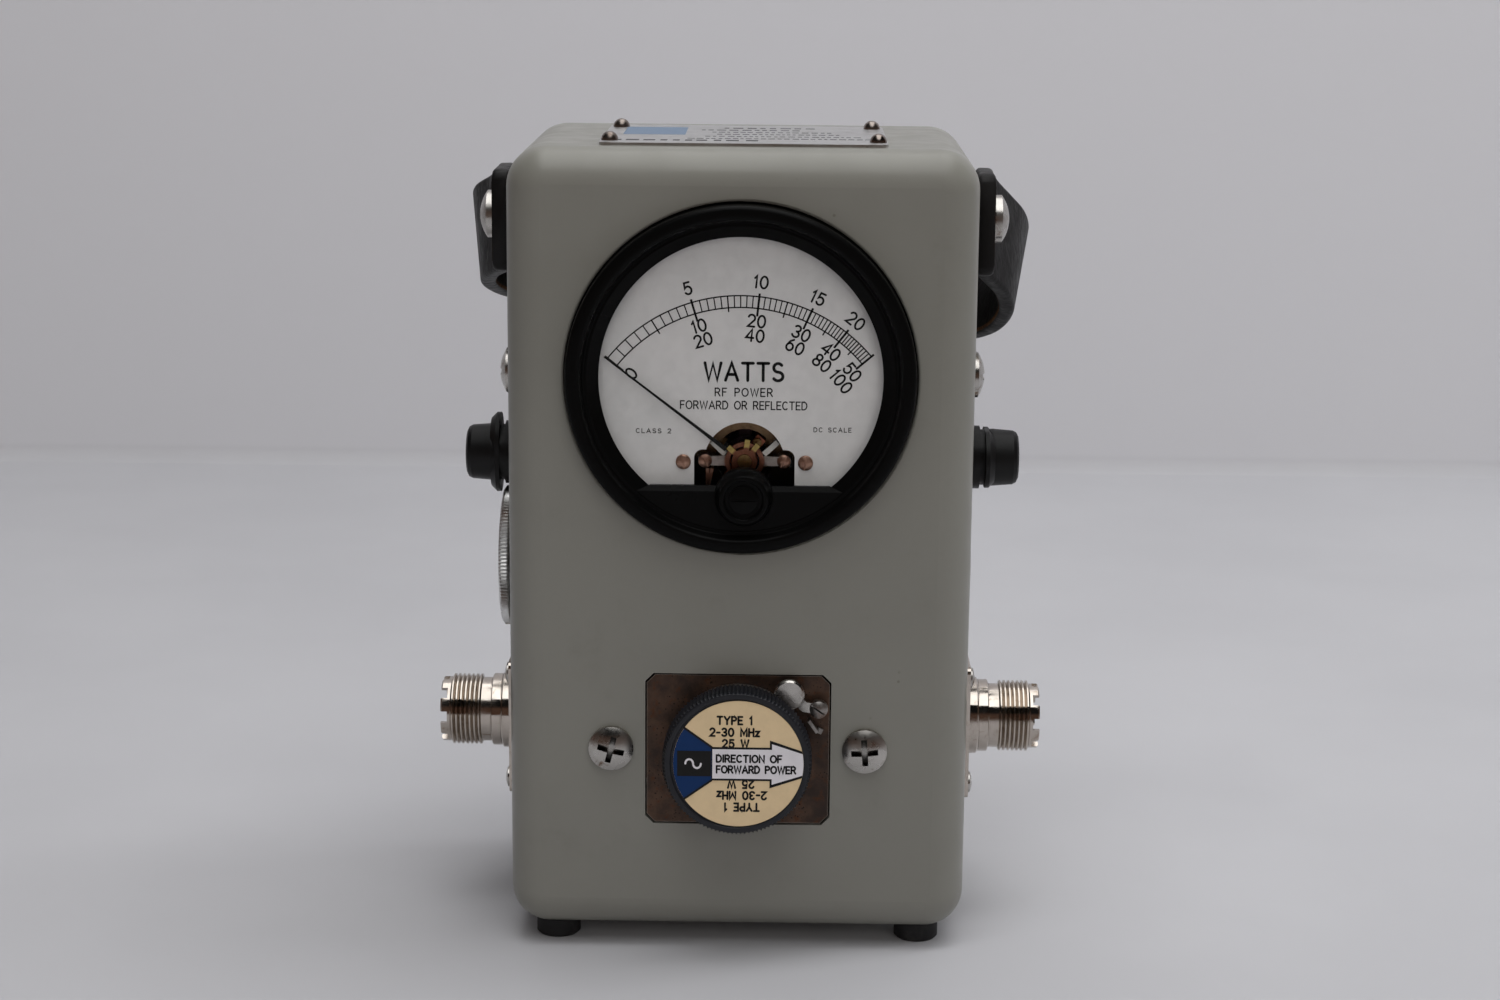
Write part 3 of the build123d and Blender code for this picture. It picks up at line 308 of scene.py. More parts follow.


# Each look: its maker, then what the maker is told after the name. Metal is told its colour, roughness,
# tarnish colour, how much is tarnished, and where it differs from the others its painted shade in hollows and
# its brushing.
LOOKS = {
    "case_paint": (paint, (0.235, 0.232, 0.205)),
    "black_gloss": (plastic, (0.0025, 0.0025, 0.0025), 0.32, 0.15, 0.08),
    "black_satin": (plastic, (0.0050, 0.0050, 0.0052), 0.40, 0.3, 0.25),
    "black_anodised": (plastic, (0.011, 0.012, 0.016), 0.40, 0.2),
    "rubber": (rubber, (0.014, 0.014, 0.015)),
    "nickel": (metal, (0.56, 0.505, 0.45), 0.15, (0.30, 0.22, 0.16), 0.22),
    # The value after the tarnish amount on these two steels sets how strongly painted shade darkens their
    # hollows.
    "screw_steel": (metal, (0.52, 0.50, 0.47), 0.27, (0.20, 0.14, 0.10), 0.28, 0.97),
    "dull_steel": (metal, (0.42, 0.40, 0.38), 0.42, (0.16, 0.10, 0.07), 0.45, 0.8),
    "knurl_aluminium": (metal, (0.70, 0.70, 0.69), 0.34, (0.36, 0.35, 0.33), 0.2),
    "plate_aluminium": (metal, (0.60, 0.60, 0.60), 0.38, (0.36, 0.34, 0.31), 0.2, 0.0, (1.0, 30.0, 30.0)),
    "brass": (metal, (0.56, 0.38, 0.17), 0.36, (0.20, 0.12, 0.05), 0.4),
    # The bronze yoke is painted dark below a level just above the pivot, a painted shade.
    "bronze": (blackened, (0.34, 0.23, 0.13), (0.020, 0.020, 0.016), PIVOT.z + 0.0015, 0.0025),
    "copper": (metal, (0.60, 0.25, 0.15), 0.40, (0.26, 0.10, 0.06), 0.4),
    "pale_copper": (metal, (0.62, 0.38, 0.28), 0.38, (0.26, 0.12, 0.08), 0.4),
    "bridge_steel": (two_metals, (0.45, 0.20, 0.13), (0.56, 0.51, 0.47), 0.0043),
    "dark_iron": (metal, (0.10, 0.09, 0.12), 0.40, (0.03, 0.03, 0.05), 0.5),
    "tarnished": (tarnished_plate,),
    "teflon": (printed, (0.78, 0.77, 0.73), 0.45),
    "white_enamel": (printed, (0.78, 0.775, 0.77)),
    "nylon": (printed, (0.66, 0.65, 0.62)),
    "nameplate_print": (printed, (0.045, 0.045, 0.05)),
    "nameplate_blue": (printed, (0.15, 0.21, 0.30)),
    "yellow_brass": (two_metals, (0.42, 0.18, 0.11), (0.80, 0.62, 0.22), 0.0031),
    "rivet_steel": (metal, (0.30, 0.26, 0.235), 0.26, (0.14, 0.10, 0.08), 0.4),
    "ink": (printed, (0.012, 0.012, 0.012)),
    "label_cream": (printed, (0.80, 0.62, 0.38)),
    "label_blue": (printed, (0.006, 0.032, 0.120)),
    "label_white": (printed, (0.80, 0.78, 0.82)),
    "leather": (leather, (0.0065, 0.006, 0.006), (0.05, 0.030, 0.018), 0.35),
    "raw_leather": (raw_leather,),
    "glass": (window_glass,),
}
looks = {name: maker(name, *values) for name, (maker, *values) in LOOKS.items()}


def dress(look_name, *node_names):
    """Give CAD nodes a look."""
    for node_name in node_names:
        obj = nodes[node_name]
        obj.data.materials.clear()
        obj.data.materials.append(looks[look_name])


dress("case_paint", "housing", "rear_cover")
dress("black_gloss", "zero_adjust_screw")
dress("black_satin", "right_turn_knob", "left_turn_knob", "meter_case")
dress("rubber", "feet", "rear_bumpers", "meter_gasket", "meter_cable")
dress("nickel", "port_shells", "port_contacts")
dress("rivet_steel", "nameplate_rivets")
dress("screw_steel", "panel_screws", "strap_screws", "strap_washers", "meter_side_screws",
      "flange_screws", "rear_cover_screws", "foot_screws", "element_catch")
dress("dull_steel", "catch_screw", "catch_spring", "knob_spring_washers", "right_knob_shaft",
      "left_knob_shaft", "meter_mounting_band")
dress("bridge_steel", "front_bridge")
dress("knurl_aluminium", "element_body", "storage_sockets", "stored_element_body")
dress("plate_aluminium", "nameplate")
dress("brass", "jewel_bearings", "balance_weights", "terminal_studs", "terminal_nuts_and_lugs",
      "centre_conductor", "dc_contact_pin", "coupling_loop", "rear_bridge")
dress("pale_copper", "movement_screws")
dress("yellow_brass", "zero_corrector")
dress("bronze", "magnet_yoke")
dress("copper", "moving_coil", "pointer_staffs", "hairsprings")
dress("dark_iron", "magnet_core")
dress("nylon", "pointer_stops")
dress("tarnished", "line_body")
dress("teflon", "port_insulators", "line_insulators", "dc_contact_bush")
dress("white_enamel", "scale_plate")
dress("ink", "pointer")
dress("glass", "meter_window")


# -------------------- mesh builders
def finish_piece(name, bm, look_names, body, replaces=(), smooth_angle=35.0):
    """Turn a bmesh into a piece that rides a body, with one look or a list of them by material index."""
    bmesh.ops.remove_doubles(bm, verts=bm.verts, dist=1e-7)
    bmesh.ops.recalc_face_normals(bm, faces=bm.faces)
    mesh = bpy.data.meshes.new(name)
    bm.to_mesh(mesh)
    bm.free()
    names = [look_names] if isinstance(look_names, str) else look_names
    for look_name in names:
        mesh.materials.append(looks[look_name])
    mesh.shade_smooth()
    obj = bpy.data.objects.new(name, mesh)
    bpy.context.scene.collection.objects.link(obj)
    mesh.set_sharp_from_angle(angle=math.radians(smooth_angle))
    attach(obj, body)
    if replaces:
        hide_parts(*replaces)


def rounded(points, steps=5):
    """An open profile. A point between its ends may carry the radius of its corner as a third value."""
    out = [Vector(points[0][:2])]
    for before, here, after in zip(points, points[1:], points[2:]):
        p, a, b = Vector(here[:2]), Vector(before[:2]), Vector(after[:2])
        r = here[2] if len(here) > 2 else 0.0
        to_a, to_b = (a - p), (b - p)
        half = to_a.angle(to_b) / 2
        if r <= 0 or half > math.radians(88):
            out.append(p)
            continue
        cut = min(r / math.tan(half), 0.49 * to_a.length, 0.49 * to_b.length)
        start, end = p + to_a.normalized() * cut, p + to_b.normalized() * cut
        for i in range(steps + 1):
            t = i / steps
            out.append((1 - t) ** 2 * start + 2 * t * (1 - t) * p + t * t * end)
    out.append(Vector(points[-1][:2]))
    return out


def lathe(bm, profile, centre, axis="Y", segments=128, teeth=0, tooth_depth=0.0, toothed=None):
    """Turn a profile of (along, radius) about the X or Y axis through centre.

    Rows whose place along the axis is between the two values of toothed get teeth.
    """
    rows = []
    for along, radius in profile:
        row = []
        if radius < 1e-7:
            row = [bm.verts.new(axis_point(centre, axis, along, 0.0, 0.0))]
        else:
            for i in range(segments):
                angle = 2 * math.pi * i / segments
                r = radius
                if toothed and toothed[0] < along < toothed[1]:
                    wave = abs(((i * teeth / segments) % 1.0) * 2 - 1)
                    r -= tooth_depth * wave
                point = axis_point(centre, axis, along, r * math.cos(angle), r * math.sin(angle))
                row.append(bm.verts.new(point))
        rows.append(row)
    for a, b in zip(rows, rows[1:]):
        if len(a) == 1 and len(b) == 1:
            continue
        for i in range(segments):
            j = (i + 1) % segments
            if len(a) == 1:
                bm.faces.new((a[0], b[i], b[j]))
            elif len(b) == 1:
                bm.faces.new((a[i], b[0], a[j]))
            else:
                bm.faces.new((a[i], b[i], b[j], a[j]))


def axis_point(centre, axis, along, u, v):
    """A point that far along an X or Y axis through centre, and u and v to its sides."""
    if axis == "X":
        return Vector((centre[0] + along, centre[1] + u, centre[2] + v))
    return Vector((centre[0] + u, centre[1] + along, centre[2] + v))


def prism(bm, outline, y0, y1, material_index=0):
    """A flat shape in the X-Z plane, given thickness from y0 to y1."""
    front = [bm.verts.new((x, y0, z)) for x, z in outline]
    back = [bm.verts.new((x, y1, z)) for x, z in outline]
    faces = [bm.faces.new(front), bm.faces.new(list(reversed(back)))]
    for i in range(len(outline)):
        j = (i + 1) % len(outline)
        faces.append(bm.faces.new((front[j], front[i], back[i], back[j])))
    for face in faces:
        face.material_index = material_index


def polar(centre_x, centre_z, radius, degrees):
    """(x, z) at a radius and an angle from the right-hand horizontal."""
    a = math.radians(degrees)
    return centre_x + radius * math.cos(a), centre_z + radius * math.sin(a)


def band_outline(centre_x, centre_z, inner, outer, start, end, steps=96):
    """A ring sector between two angles."""
    angles = [start + (end - start) * i / steps for i in range(steps + 1)]
    return ([polar(centre_x, centre_z, outer, a) for a in angles]
            + [polar(centre_x, centre_z, inner, a) for a in reversed(angles)])


def curve(cx, cz, rx, rz, start, end, steps=12):
    """Points along an ellipse, in the unit square that a character is drawn in."""
    angles = [math.radians(start + (end - start) * i / steps) for i in range(steps + 1)]
    return [(cx + rx * math.cos(a), cz + rz * math.sin(a)) for a in angles]


# The stem and bowl that P and R share.
BOWED_STEM = [(0.0, 0.0), (0.0, 1.0), (0.28, 1.0)] + curve(0.28, 0.74, 0.26, 0.26, 90, -90) + [(0.0, 0.48)]
# Plain engraver's lettering: each character is its width and the strokes it is drawn with, one unit high.
STROKES = {
    "0": (0.60, [curve(0.30, 0.5, 0.30, 0.5, 90, 450, 24)]),
    "1": (0.28, [[(0.04, 0.80), (0.20, 1.0), (0.20, 0.0)]]),
    "2": (0.58, [curve(0.29, 0.71, 0.28, 0.29, 160, -35) + [(0.02, 0.0), (0.58, 0.0)]]),
    "3": (0.58, [curve(0.29, 0.75, 0.26, 0.25, 150, -90), curve(0.29, 0.25, 0.29, 0.25, 90, -155)]),
    "4": (0.62, [[(0.46, 0.0), (0.46, 1.0), (0.0, 0.28), (0.62, 0.28)]]),
    "5": (0.56, [[(0.52, 1.0), (0.10, 1.0), (0.05, 0.55)] + curve(0.27, 0.33, 0.29, 0.33, 125, -150)]),
    "6": (0.58, [curve(0.29, 0.31, 0.28, 0.31, 90, 450, 20), [(0.02, 0.38), (0.16, 0.78), (0.40, 1.0)]]),
    "8": (0.58, [curve(0.29, 0.76, 0.24, 0.24, -90, 270, 20), curve(0.29, 0.26, 0.29, 0.26, 90, 450, 20)]),
    "A": (0.70, [[(0.0, 0.0), (0.35, 1.0), (0.70, 0.0)], [(0.12, 0.34), (0.58, 0.34)]]),
    "C": (0.64, [curve(0.34, 0.5, 0.34, 0.5, 50, 310, 18)]),
    "D": (0.62, [[(0.0, 0.0), (0.0, 1.0), (0.22, 1.0)] + curve(0.22, 0.5, 0.40, 0.5, 90, -90)
                 + [(0.0, 0.0)]]),
    "E": (0.50, [[(0.50, 1.0), (0.0, 1.0), (0.0, 0.0), (0.50, 0.0)], [(0.0, 0.52), (0.42, 0.52)]]),
    "F": (0.48, [[(0.48, 1.0), (0.0, 1.0), (0.0, 0.0)], [(0.0, 0.52), (0.40, 0.52)]]),
    "H": (0.58, [[(0.0, 0.0), (0.0, 1.0)], [(0.58, 0.0), (0.58, 1.0)], [(0.0, 0.52), (0.58, 0.52)]]),
    "I": (0.06, [[(0.03, 0.0), (0.03, 1.0)]]),
    "L": (0.48, [[(0.0, 1.0), (0.0, 0.0), (0.48, 0.0)]]),
    "M": (0.74, [[(0.0, 0.0), (0.0, 1.0), (0.37, 0.25), (0.74, 1.0), (0.74, 0.0)]]),
    "N": (0.60, [[(0.0, 0.0), (0.0, 1.0), (0.60, 0.0), (0.60, 1.0)]]),
    "O": (0.74, [curve(0.37, 0.5, 0.37, 0.5, 90, 450, 24)]),
    "P": (0.54, [BOWED_STEM]),
    "R": (0.58, [BOWED_STEM, [(0.30, 0.48), (0.58, 0.0)]]),
    "S": (0.56, [curve(0.28, 0.75, 0.25, 0.25, 35, 270) + curve(0.28, 0.25, 0.28, 0.25, 90, -150)[1:]]),
    "T": (0.62, [[(0.0, 1.0), (0.62, 1.0)], [(0.31, 1.0), (0.31, 0.0)]]),
    "Y": (0.66, [[(0.0, 1.0), (0.33, 0.5), (0.66, 1.0)], [(0.33, 0.5), (0.33, 0.0)]]),
    "W": (0.92, [[(0.0, 1.0), (0.22, 0.0), (0.46, 0.95), (0.70, 0.0), (0.92, 1.0)]]),
    "z": (0.44, [[(0.0, 0.64), (0.42, 0.64), (0.0, 0.0), (0.44, 0.0)]]),
    "-": (0.36, [[(0.0, 0.45), (0.36, 0.45)]]),
    "~": (1.00, [curve(0.25, 0.5, 0.25, 0.32, 180, 0) + curve(0.75, 0.5, 0.25, 0.32, 180, 360)[1:]]),
    " ": (0.40, []),
}


def ribbon(bm, path, half, y0, y1, material_index=0):
    """A flat line of even width with rounded ends, along points of the X-Z plane."""
    points = [Vector(p) for p in path]
    left, right = [], []
    for i, point in enumerate(points):
        into = (point - points[i - 1]).normalized() if i else None
        out = (points[i + 1] - point).normalized() if i + 1 < len(points) else None
        way = ((into or out) + (out or into)).normalized()
        side = Vector((-way.y, way.x))
        stretch = 1.0 / max(0.45, side.dot(Vector((-(into or out).y, (into or out).x))))
        left.append(point + side * half * stretch)
        right.append(point - side * half * stretch)
    first, last = points[0], points[-1]
    back_way, ahead_way = (first - points[1]).normalized(), (last - points[-2]).normalized()

    def cap(at, way):
        """The points of a round end, from one side to the other."""
        side = Vector((-way.y, way.x))
        return [at + half * (math.cos(a) * side + math.sin(a) * way)
                for a in (math.pi * k / 5 for k in range(1, 5))]

    front_l, front_r = ([bm.verts.new((p.x, y0, p.y)) for p in row] for row in (left, right))
    back_l, back_r = ([bm.verts.new((p.x, y1, p.y)) for p in row] for row in (left, right))
    faces = []
    for i in range(len(points) - 1):
        j = i + 1
        faces.append(bm.faces.new((front_l[i], front_l[j], front_r[j], front_r[i])))
        faces.append(bm.faces.new((back_l[i], back_r[i], back_r[j], back_l[j])))
        faces.append(bm.faces.new((front_l[i], back_l[i], back_l[j], front_l[j])))
        faces.append(bm.faces.new((front_r[i], front_r[j], back_r[j], back_r[i])))
    for at, way, fl, fr, bl, br in ((last, ahead_way, front_l[-1], front_r[-1], back_l[-1], back_r[-1]),
                                    (first, back_way, front_r[0], front_l[0], back_r[0], back_l[0])):
        front = [fl] + [bm.verts.new((p.x, y0, p.y)) for p in cap(at, way)] + [fr]
        back = [bl] + [bm.verts.new((p.x, y1, p.y)) for p in cap(at, way)] + [br]
        faces.append(bm.faces.new(front))
        faces.append(bm.faces.new(list(reversed(back))))
        for k in range(len(front) - 1):
            faces.append(bm.faces.new((front[k], back[k], back[k + 1], front[k + 1])))
    for face in faces:
        face.material_index = material_index


INK_THICK = 0.00006


def lettering(bm, text, height, place, line, y_front, turn=0.0, width=1.0, gap=0.26, material_index=0):
    """Write text centred on place, (x, z), turned by degrees about the view axis.

    The width of the letters and the gap between them are shares of the height of a capital.
    """
    total = sum(STROKES[c][0] + gap for c in text) - gap
    pen = -total / 2
    cos_t, sin_t = math.cos(math.radians(turn)), math.sin(math.radians(turn))
    for character in text:
        advance, strokes = STROKES[character]
        for stroke in strokes:
            path = []
            for u, v in stroke:
                dx, dz = (pen + u) * height * width, (v - 0.5) * height
                path.append((place[0] + dx * cos_t - dz * sin_t, place[1] + dx * sin_t + dz * cos_t))
            ribbon(bm, path, line / 2, y_front, y_front + INK_THICK, material_index)
        pen += advance + gap


# -------------------- panel meter
# The bezel's round opening, the step inside its ring, the flat segment across its foot, and its seat.
WINDOW_R, GROOVE_R = 0.0300, 0.0332
SEGMENT_TOP_Z = 0.1043
SEGMENT_Y = FRONT_Y - 0.0020
SEAT_Y = FRONT_Y + 0.0002


def add_bezel_ring(bm):
    """The ring: a round crest, then a slope in to the step and the edge of the opening."""
    crest, back, hollow_r = FRONT_Y - 0.0040, bezel_high.y, WINDOW_R + 0.0044
    outside = [(back, BEZEL_R), (crest, BEZEL_R, 0.0016), (crest, BEZEL_R - 0.0030, 0.0011),
               (SEGMENT_Y + 0.0002, GROOVE_R, 0.0004), (SEGMENT_Y, GROOVE_R - 0.0008, 0.0005),
               (SEAT_Y, WINDOW_R)]
    inside = [Vector((SEAT_Y, hollow_r)), Vector((back, hollow_r)), Vector((back, BEZEL_R))]
    lathe(bm, rounded(outside, 8) + inside, (0, 0, METER_Z), segments=192)


def add_bezel_segment(bm):
    """The flat segment across the ring's foot, bevelled along its straight edge."""
    face_r, bevel, steps = GROOVE_R - 0.0006, 0.0010, 64
    rows = []
    for radius, top, y in ((face_r - 0.0030, SEGMENT_TOP_Z, SEAT_Y),
                           (face_r - 0.0028, SEGMENT_TOP_Z, FRONT_Y - 0.0008),
                           (face_r - 0.0004, SEGMENT_TOP_Z - bevel, SEGMENT_Y)):
        half = math.acos((METER_Z - top) / radius)
        angles = [math.degrees(-math.pi / 2 - half + 2 * half * i / steps) for i in range(steps + 1)]
        places = [polar(0.0, METER_Z, radius, angle) for angle in angles]
        rows.append([bm.verts.new((x, y, z)) for x, z in places])
    for a, b in zip(rows, rows[1:]):
        for i in range(len(a)):
            j = (i + 1) % len(a)
            bm.faces.new((a[i], a[j], b[j], b[i]))
    bm.faces.new(rows[0])
    bm.faces.new(rows[-1])


def add_adjuster_boss(bm):
    """The stepped boss round the zero adjuster, hollow in front for its slotted screw."""
    root_y, front, hollow_y = FRONT_Y + 0.0001, bezel_low.y, bezel_low.y + 0.0009
    boss = [(root_y, 0.0), (root_y, 0.0063), (SEGMENT_Y + 0.0002, 0.0063, 0.0004),
            (SEGMENT_Y - 0.0006, 0.0058, 0.0006), (front, 0.0052, 0.0006), (front, 0.0042, 0.0003),
            (hollow_y, 0.0040, 0.0002), (hollow_y, 0.0)]
    lathe(bm, rounded(boss), (ADJUST.x, 0, ADJUST.z), segments=72)


def make_bezel():
    """A rounded black ring with a step inside it, a flat segment across its foot and the adjuster's boss."""
    bm = bmesh.new()
    add_bezel_ring(bm)
    add_bezel_segment(bm)
    add_adjuster_boss(bm)
    finish_piece("meter_bezel_ring", bm, "black_gloss", "instrument", ("meter_bezel",))


make_bezel()

# The scale: pointer angle at each main division, from the right-hand horizontal, in degrees.
MAIN_VALUES = (0, 5, 10, 15, 20, 25)
MAIN_ANGLES = (141.5, 106.9, 84.1, 65.9, 52.2, 40.5)
ARC_IN, ARC_OUT = 0.0336, 0.0361
ARC_CENTRE_Z = METER_Z - 0.0188
ARC_LINE = 0.00028
# Each kind of tick: how far it goes inside the arcs, how far outside them, and half its width.
MAIN_TICK = (0.0017, 0.0007, 0.00023)
MIDDLE_TICK = (0.0009, 0.0, 0.00015)
SMALL_TICK = (0.0, 0.0, 0.000125)
# The figures: height, width of a line, and how far each row is from the arcs' centre.
FIGURE_HEIGHT, FIGURE_LINE = 0.00250, 0.00043
ZERO_ROW, OUTER_ROW, MIDDLE_ROW, INNER_ROW = 0.0302, 0.0392, 0.0309, 0.0278
# Words on the dial: height of a capital, place, width of a line, width of a letter, gap.
DIAL_WORDS = {
    "WATTS": (0.0037, (0.0006, 0.1281), 0.00064, 1.0, 0.26),
    "RF POWER": (0.00165, (0.0006, 0.1237), 0.00026, 1.05, 0.32),
    "FORWARD OR REFLECTED": (0.00165, (0.0006, 0.1209), 0.00026, 1.0, 0.24),
    "CLASS 2": (0.0009, (-0.0185, 0.1152), 0.00016, 1.3, 0.4),
    "DC SCALE": (0.0009, (0.0195, 0.1158), 0.00016, 1.2, 0.4),
}


def scale_angle(value):
    """The pointer's angle at a value: the one smooth curve through the main divisions."""
    total = 0.0
    for i, (xi, yi) in enumerate(zip(MAIN_VALUES, MAIN_ANGLES)):
        term = yi
        for j, xj in enumerate(MAIN_VALUES):
            if j != i:
                term *= (value - xj) / (xi - xj)
        total += term
    return total


def make_dial_print():
    """Arcs, fifty divisions, rows of figures and a few words, standing just proud of the dial."""
    bm = bmesh.new()
    y0 = DIAL_FACE_Y - 0.00004
    y1 = y0 + INK_THICK
    px, pz = 0.0, ARC_CENTRE_Z
    for radius in (ARC_IN, ARC_OUT):
        inner, outer = radius - ARC_LINE / 2, radius + ARC_LINE / 2
        prism(bm, band_outline(px, pz, inner, outer, MAIN_ANGLES[-1], MAIN_ANGLES[0]), y0, y1)
    for i in range(51):
        angle = math.radians(scale_angle(i * 0.5))
        inside, outside, half = MAIN_TICK if i % 10 == 0 else MIDDLE_TICK if i % 5 == 0 else SMALL_TICK
        low, high = ARC_IN - inside, ARC_OUT + outside
        along, across = (math.cos(angle), math.sin(angle)), (-math.sin(angle), math.cos(angle))
        corners = [(px + along[0] * r + across[0] * w, pz + along[1] * r + across[1] * w)
                   for r, w in ((low, -half), (high, -half), (high, half), (low, half))]
        prism(bm, corners, y0, y1)
    figures = [("0", ZERO_ROW, 0)]
    for value in MAIN_VALUES[1:-1]:
        figures.append((str(value), OUTER_ROW, value))
    for value in MAIN_VALUES[1:]:
        figures.append((str(2 * value), MIDDLE_ROW, value))
        figures.append((str(4 * value), INNER_ROW, value))
    zero_aside = 1.2
    for text, radius, value in figures:
        angle = scale_angle(value) - (zero_aside if value == 0 else 0.0)
        place = polar(px, pz, radius, angle)
        lettering(bm, text, FIGURE_HEIGHT, place, FIGURE_LINE, y0, angle - 90)
    for text, (height, place, line, width, gap) in DIAL_WORDS.items():
        lettering(bm, text, height, place, line, y0, 0.0, width, gap)
    finish_piece("dial_print", bm, "ink", "instrument")


make_dial_print()


# -------------------- plug-in element
LABEL_R = 0.01390
# A grip's edges over this many degrees stay sharp.
GRIP_SMOOTH = 50.0


def make_element_cap():
    """The element's grip: a toothed rim round a shallow well for the label."""
    bm = bmesh.new()
    front, back = cap_low.y, cap_high.y
    well_y, teeth, per_tooth = front + 0.0005, 110, 8
    profile = [(back, 0.0), (back, KNOB_R - 0.0006, 0.0002), (back - 0.0006, KNOB_R, 0.0002),
               (front + 0.0008, KNOB_R, 0.0003), (front, KNOB_R - 0.0007, 0.0003),
               (front, LABEL_R + 0.0004, 0.0002), (well_y, LABEL_R + 0.0002, 0.0001), (well_y, 0.0)]
    lathe(bm, rounded(profile, 3), (ELEMENT.x, 0, ELEMENT.z), segments=teeth * per_tooth, teeth=teeth,
          tooth_depth=0.00055, toothed=(front + 0.0006, back - 0.0003))
    finish_piece("element_grip", bm, "black_anodised", "element", ("element_cap",),
                 GRIP_SMOOTH)


def make_element_label():
    """A printed disc: cream ground, blue sector, white arrow with a dark outline, plain ratings."""
    bm = bmesh.new()
    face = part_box("element_label")[0].y
    cx, cz = ELEMENT.x + 0.0003, ELEMENT.z - 0.00003
    step, edge, rim = 0.00004, 0.00045, LABEL_R - 0.00002
    cream, blue, dark, white = 0, 1, 2, 3

    def flat(outline, layer, material_index):
        """A flat shape about the disc's centre. Each layer stands one step further out."""
        points = [(cx + x, cz + z) for x, z in outline]
        prism(bm, points, face - layer * step, face - (layer - 1) * step, material_index)

    def rim_arc(start, end, steps=24):
        """Points along the disc's rim between two angles."""
        angles = [start + (end - start) * i / steps for i in range(steps + 1)]
        return [(rim * math.cos(a), rim * math.sin(a)) for a in angles]

    def both_sides(upper, half_arc):
        """An outline that is the same above and below the arrow's middle, closed along the rim."""
        return upper + rim_arc(half_arc, -half_arc) + [(x, -z) for x, z in reversed(upper)]

    prism(bm, [polar(cx, cz, LABEL_R, 360 * i / 160) for i in range(160)], face, face + 0.0002, cream)
    shaft_x, shaft_z, barb_x, barb_z = -0.0057, 0.0037, 0.0067, 0.0053
    sector = math.radians(34.4)
    flat([(shaft_x, shaft_z)] + rim_arc(math.pi - sector, math.pi + sector) + [(shaft_x, -shaft_z)], 1, blue)
    flat(both_sides([(shaft_x, shaft_z), (barb_x, shaft_z), (barb_x, barb_z)], 0.215), 2, dark)
    inner_z, inner_x = shaft_z - edge, barb_x + edge
    flat(both_sides([(shaft_x + 0.0002, inner_z), (inner_x, inner_z), (inner_x, barb_z - 0.0008)], 0.172),
         3, white)
    patch_out, patch_in, patch_z = -0.0130, -0.0058, 0.0028
    flat([(patch_out, patch_z), (patch_in, patch_z), (patch_in, -patch_z), (patch_out, -patch_z)], 2, dark)
    for sign, turn in ((1, 0), (-1, 180)):
        ends = [(cx + shaft_x, cz + sign * shaft_z),
                (cx - rim * math.cos(sector), cz + sign * rim * math.sin(sector))]
        ribbon(bm, ends, edge / 2, face - 2 * step, face, dark)
        for text, aside, above in (("2-30 MHz", 0.0008, 0.0070), ("25 W", 0.0006, 0.0045),
                                   ("TYPE 1", 0.0008, 0.0096)):
            place = (cx - aside * sign, cz + sign * above)
            lettering(bm, text, 0.00165, place, 0.00043, face - step, turn, 1.0, 0.29, dark)
    for text, height, across, above, line, width, gap, colour in (
            ("~", 0.0030, -0.0096, 0.0, 0.00042, 1.1, 0.2, white),
            ("DIRECTION OF", 0.00150, 0.0023, 0.0012, 0.00038, 1.06, 0.24, dark),
            ("FORWARD POWER", 0.00150, 0.0038, -0.0012, 0.00038, 1.00, 0.24, dark)):
        lettering(bm, text, height, (cx + across, cz + above), line, face - 4 * step, 0, width, gap, colour)
    finish_piece("element_face_label", bm, ["label_cream", "label_blue", "ink", "label_white"],
                 "element", ("element_label",))


make_element_cap()
make_element_label()


# -------------------- nameplate
# Each row of small print: where it starts and ends across the plate, and the size of its marks.
# The first row and the step to the next are shares of the plate's depth.
PRINT_ROWS = ((0.04, 0.55, 2.2), (0.30, 0.94, 1.0), (0.36, 0.90, 1.0), (0.40, 0.84, 1.0),
              (0.38, 0.80, 1.0), (0.34, 0.70, 1.3), (0.42, 0.72, 1.5))
FIRST_ROW, ROW_STEP, MARK_HEIGHT = 0.13, 0.115, 0.0011


def make_nameplate_print():
    """Rows of small print and a pale blue corner patch on the top plate, raised by the thickness of ink."""
    bm = bmesh.new()
    low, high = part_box("nameplate")
    top, rise = high.z, 0.00003
    width, depth = high.x - low.x, high.y - low.y
    rng = random.Random(7)

    def patch(x0, x1, y0, y1, material_index):
        """A flat oblong of ink on the plate."""
        start = len(bm.verts)
        middle = Matrix.Translation(((x0 + x1) / 2, (y0 + y1) / 2, top))
        size = Matrix.Diagonal((x1 - x0, y1 - y0, 2 * rise, 1.0))
        bmesh.ops.create_cube(bm, size=1.0, matrix=middle @ size)
        bm.verts.ensure_lookup_table()
        for face in {face for vert in bm.verts[start:] for face in vert.link_faces}:
            face.material_index = material_index

    patch(low.x + 0.0040, low.x + 0.0175, high.y - 0.55 * depth, high.y - 0.14 * depth, 1)
    for row, (left, right, size) in enumerate(PRINT_ROWS):
        y = low.y + (FIRST_ROW + ROW_STEP * row) * depth
        x, end = low.x + left * width, low.x + right * width
        while x < end:
            word = rng.uniform(0.0006, 0.0016) * size
            patch(x, x + word, y, y + MARK_HEIGHT * size, 0)
            x += word + rng.uniform(0.0004, 0.0007) * size
    finish_piece("nameplate_print", bm, ["nameplate_print", "nameplate_blue"],
                 "instrument")


make_nameplate_print()


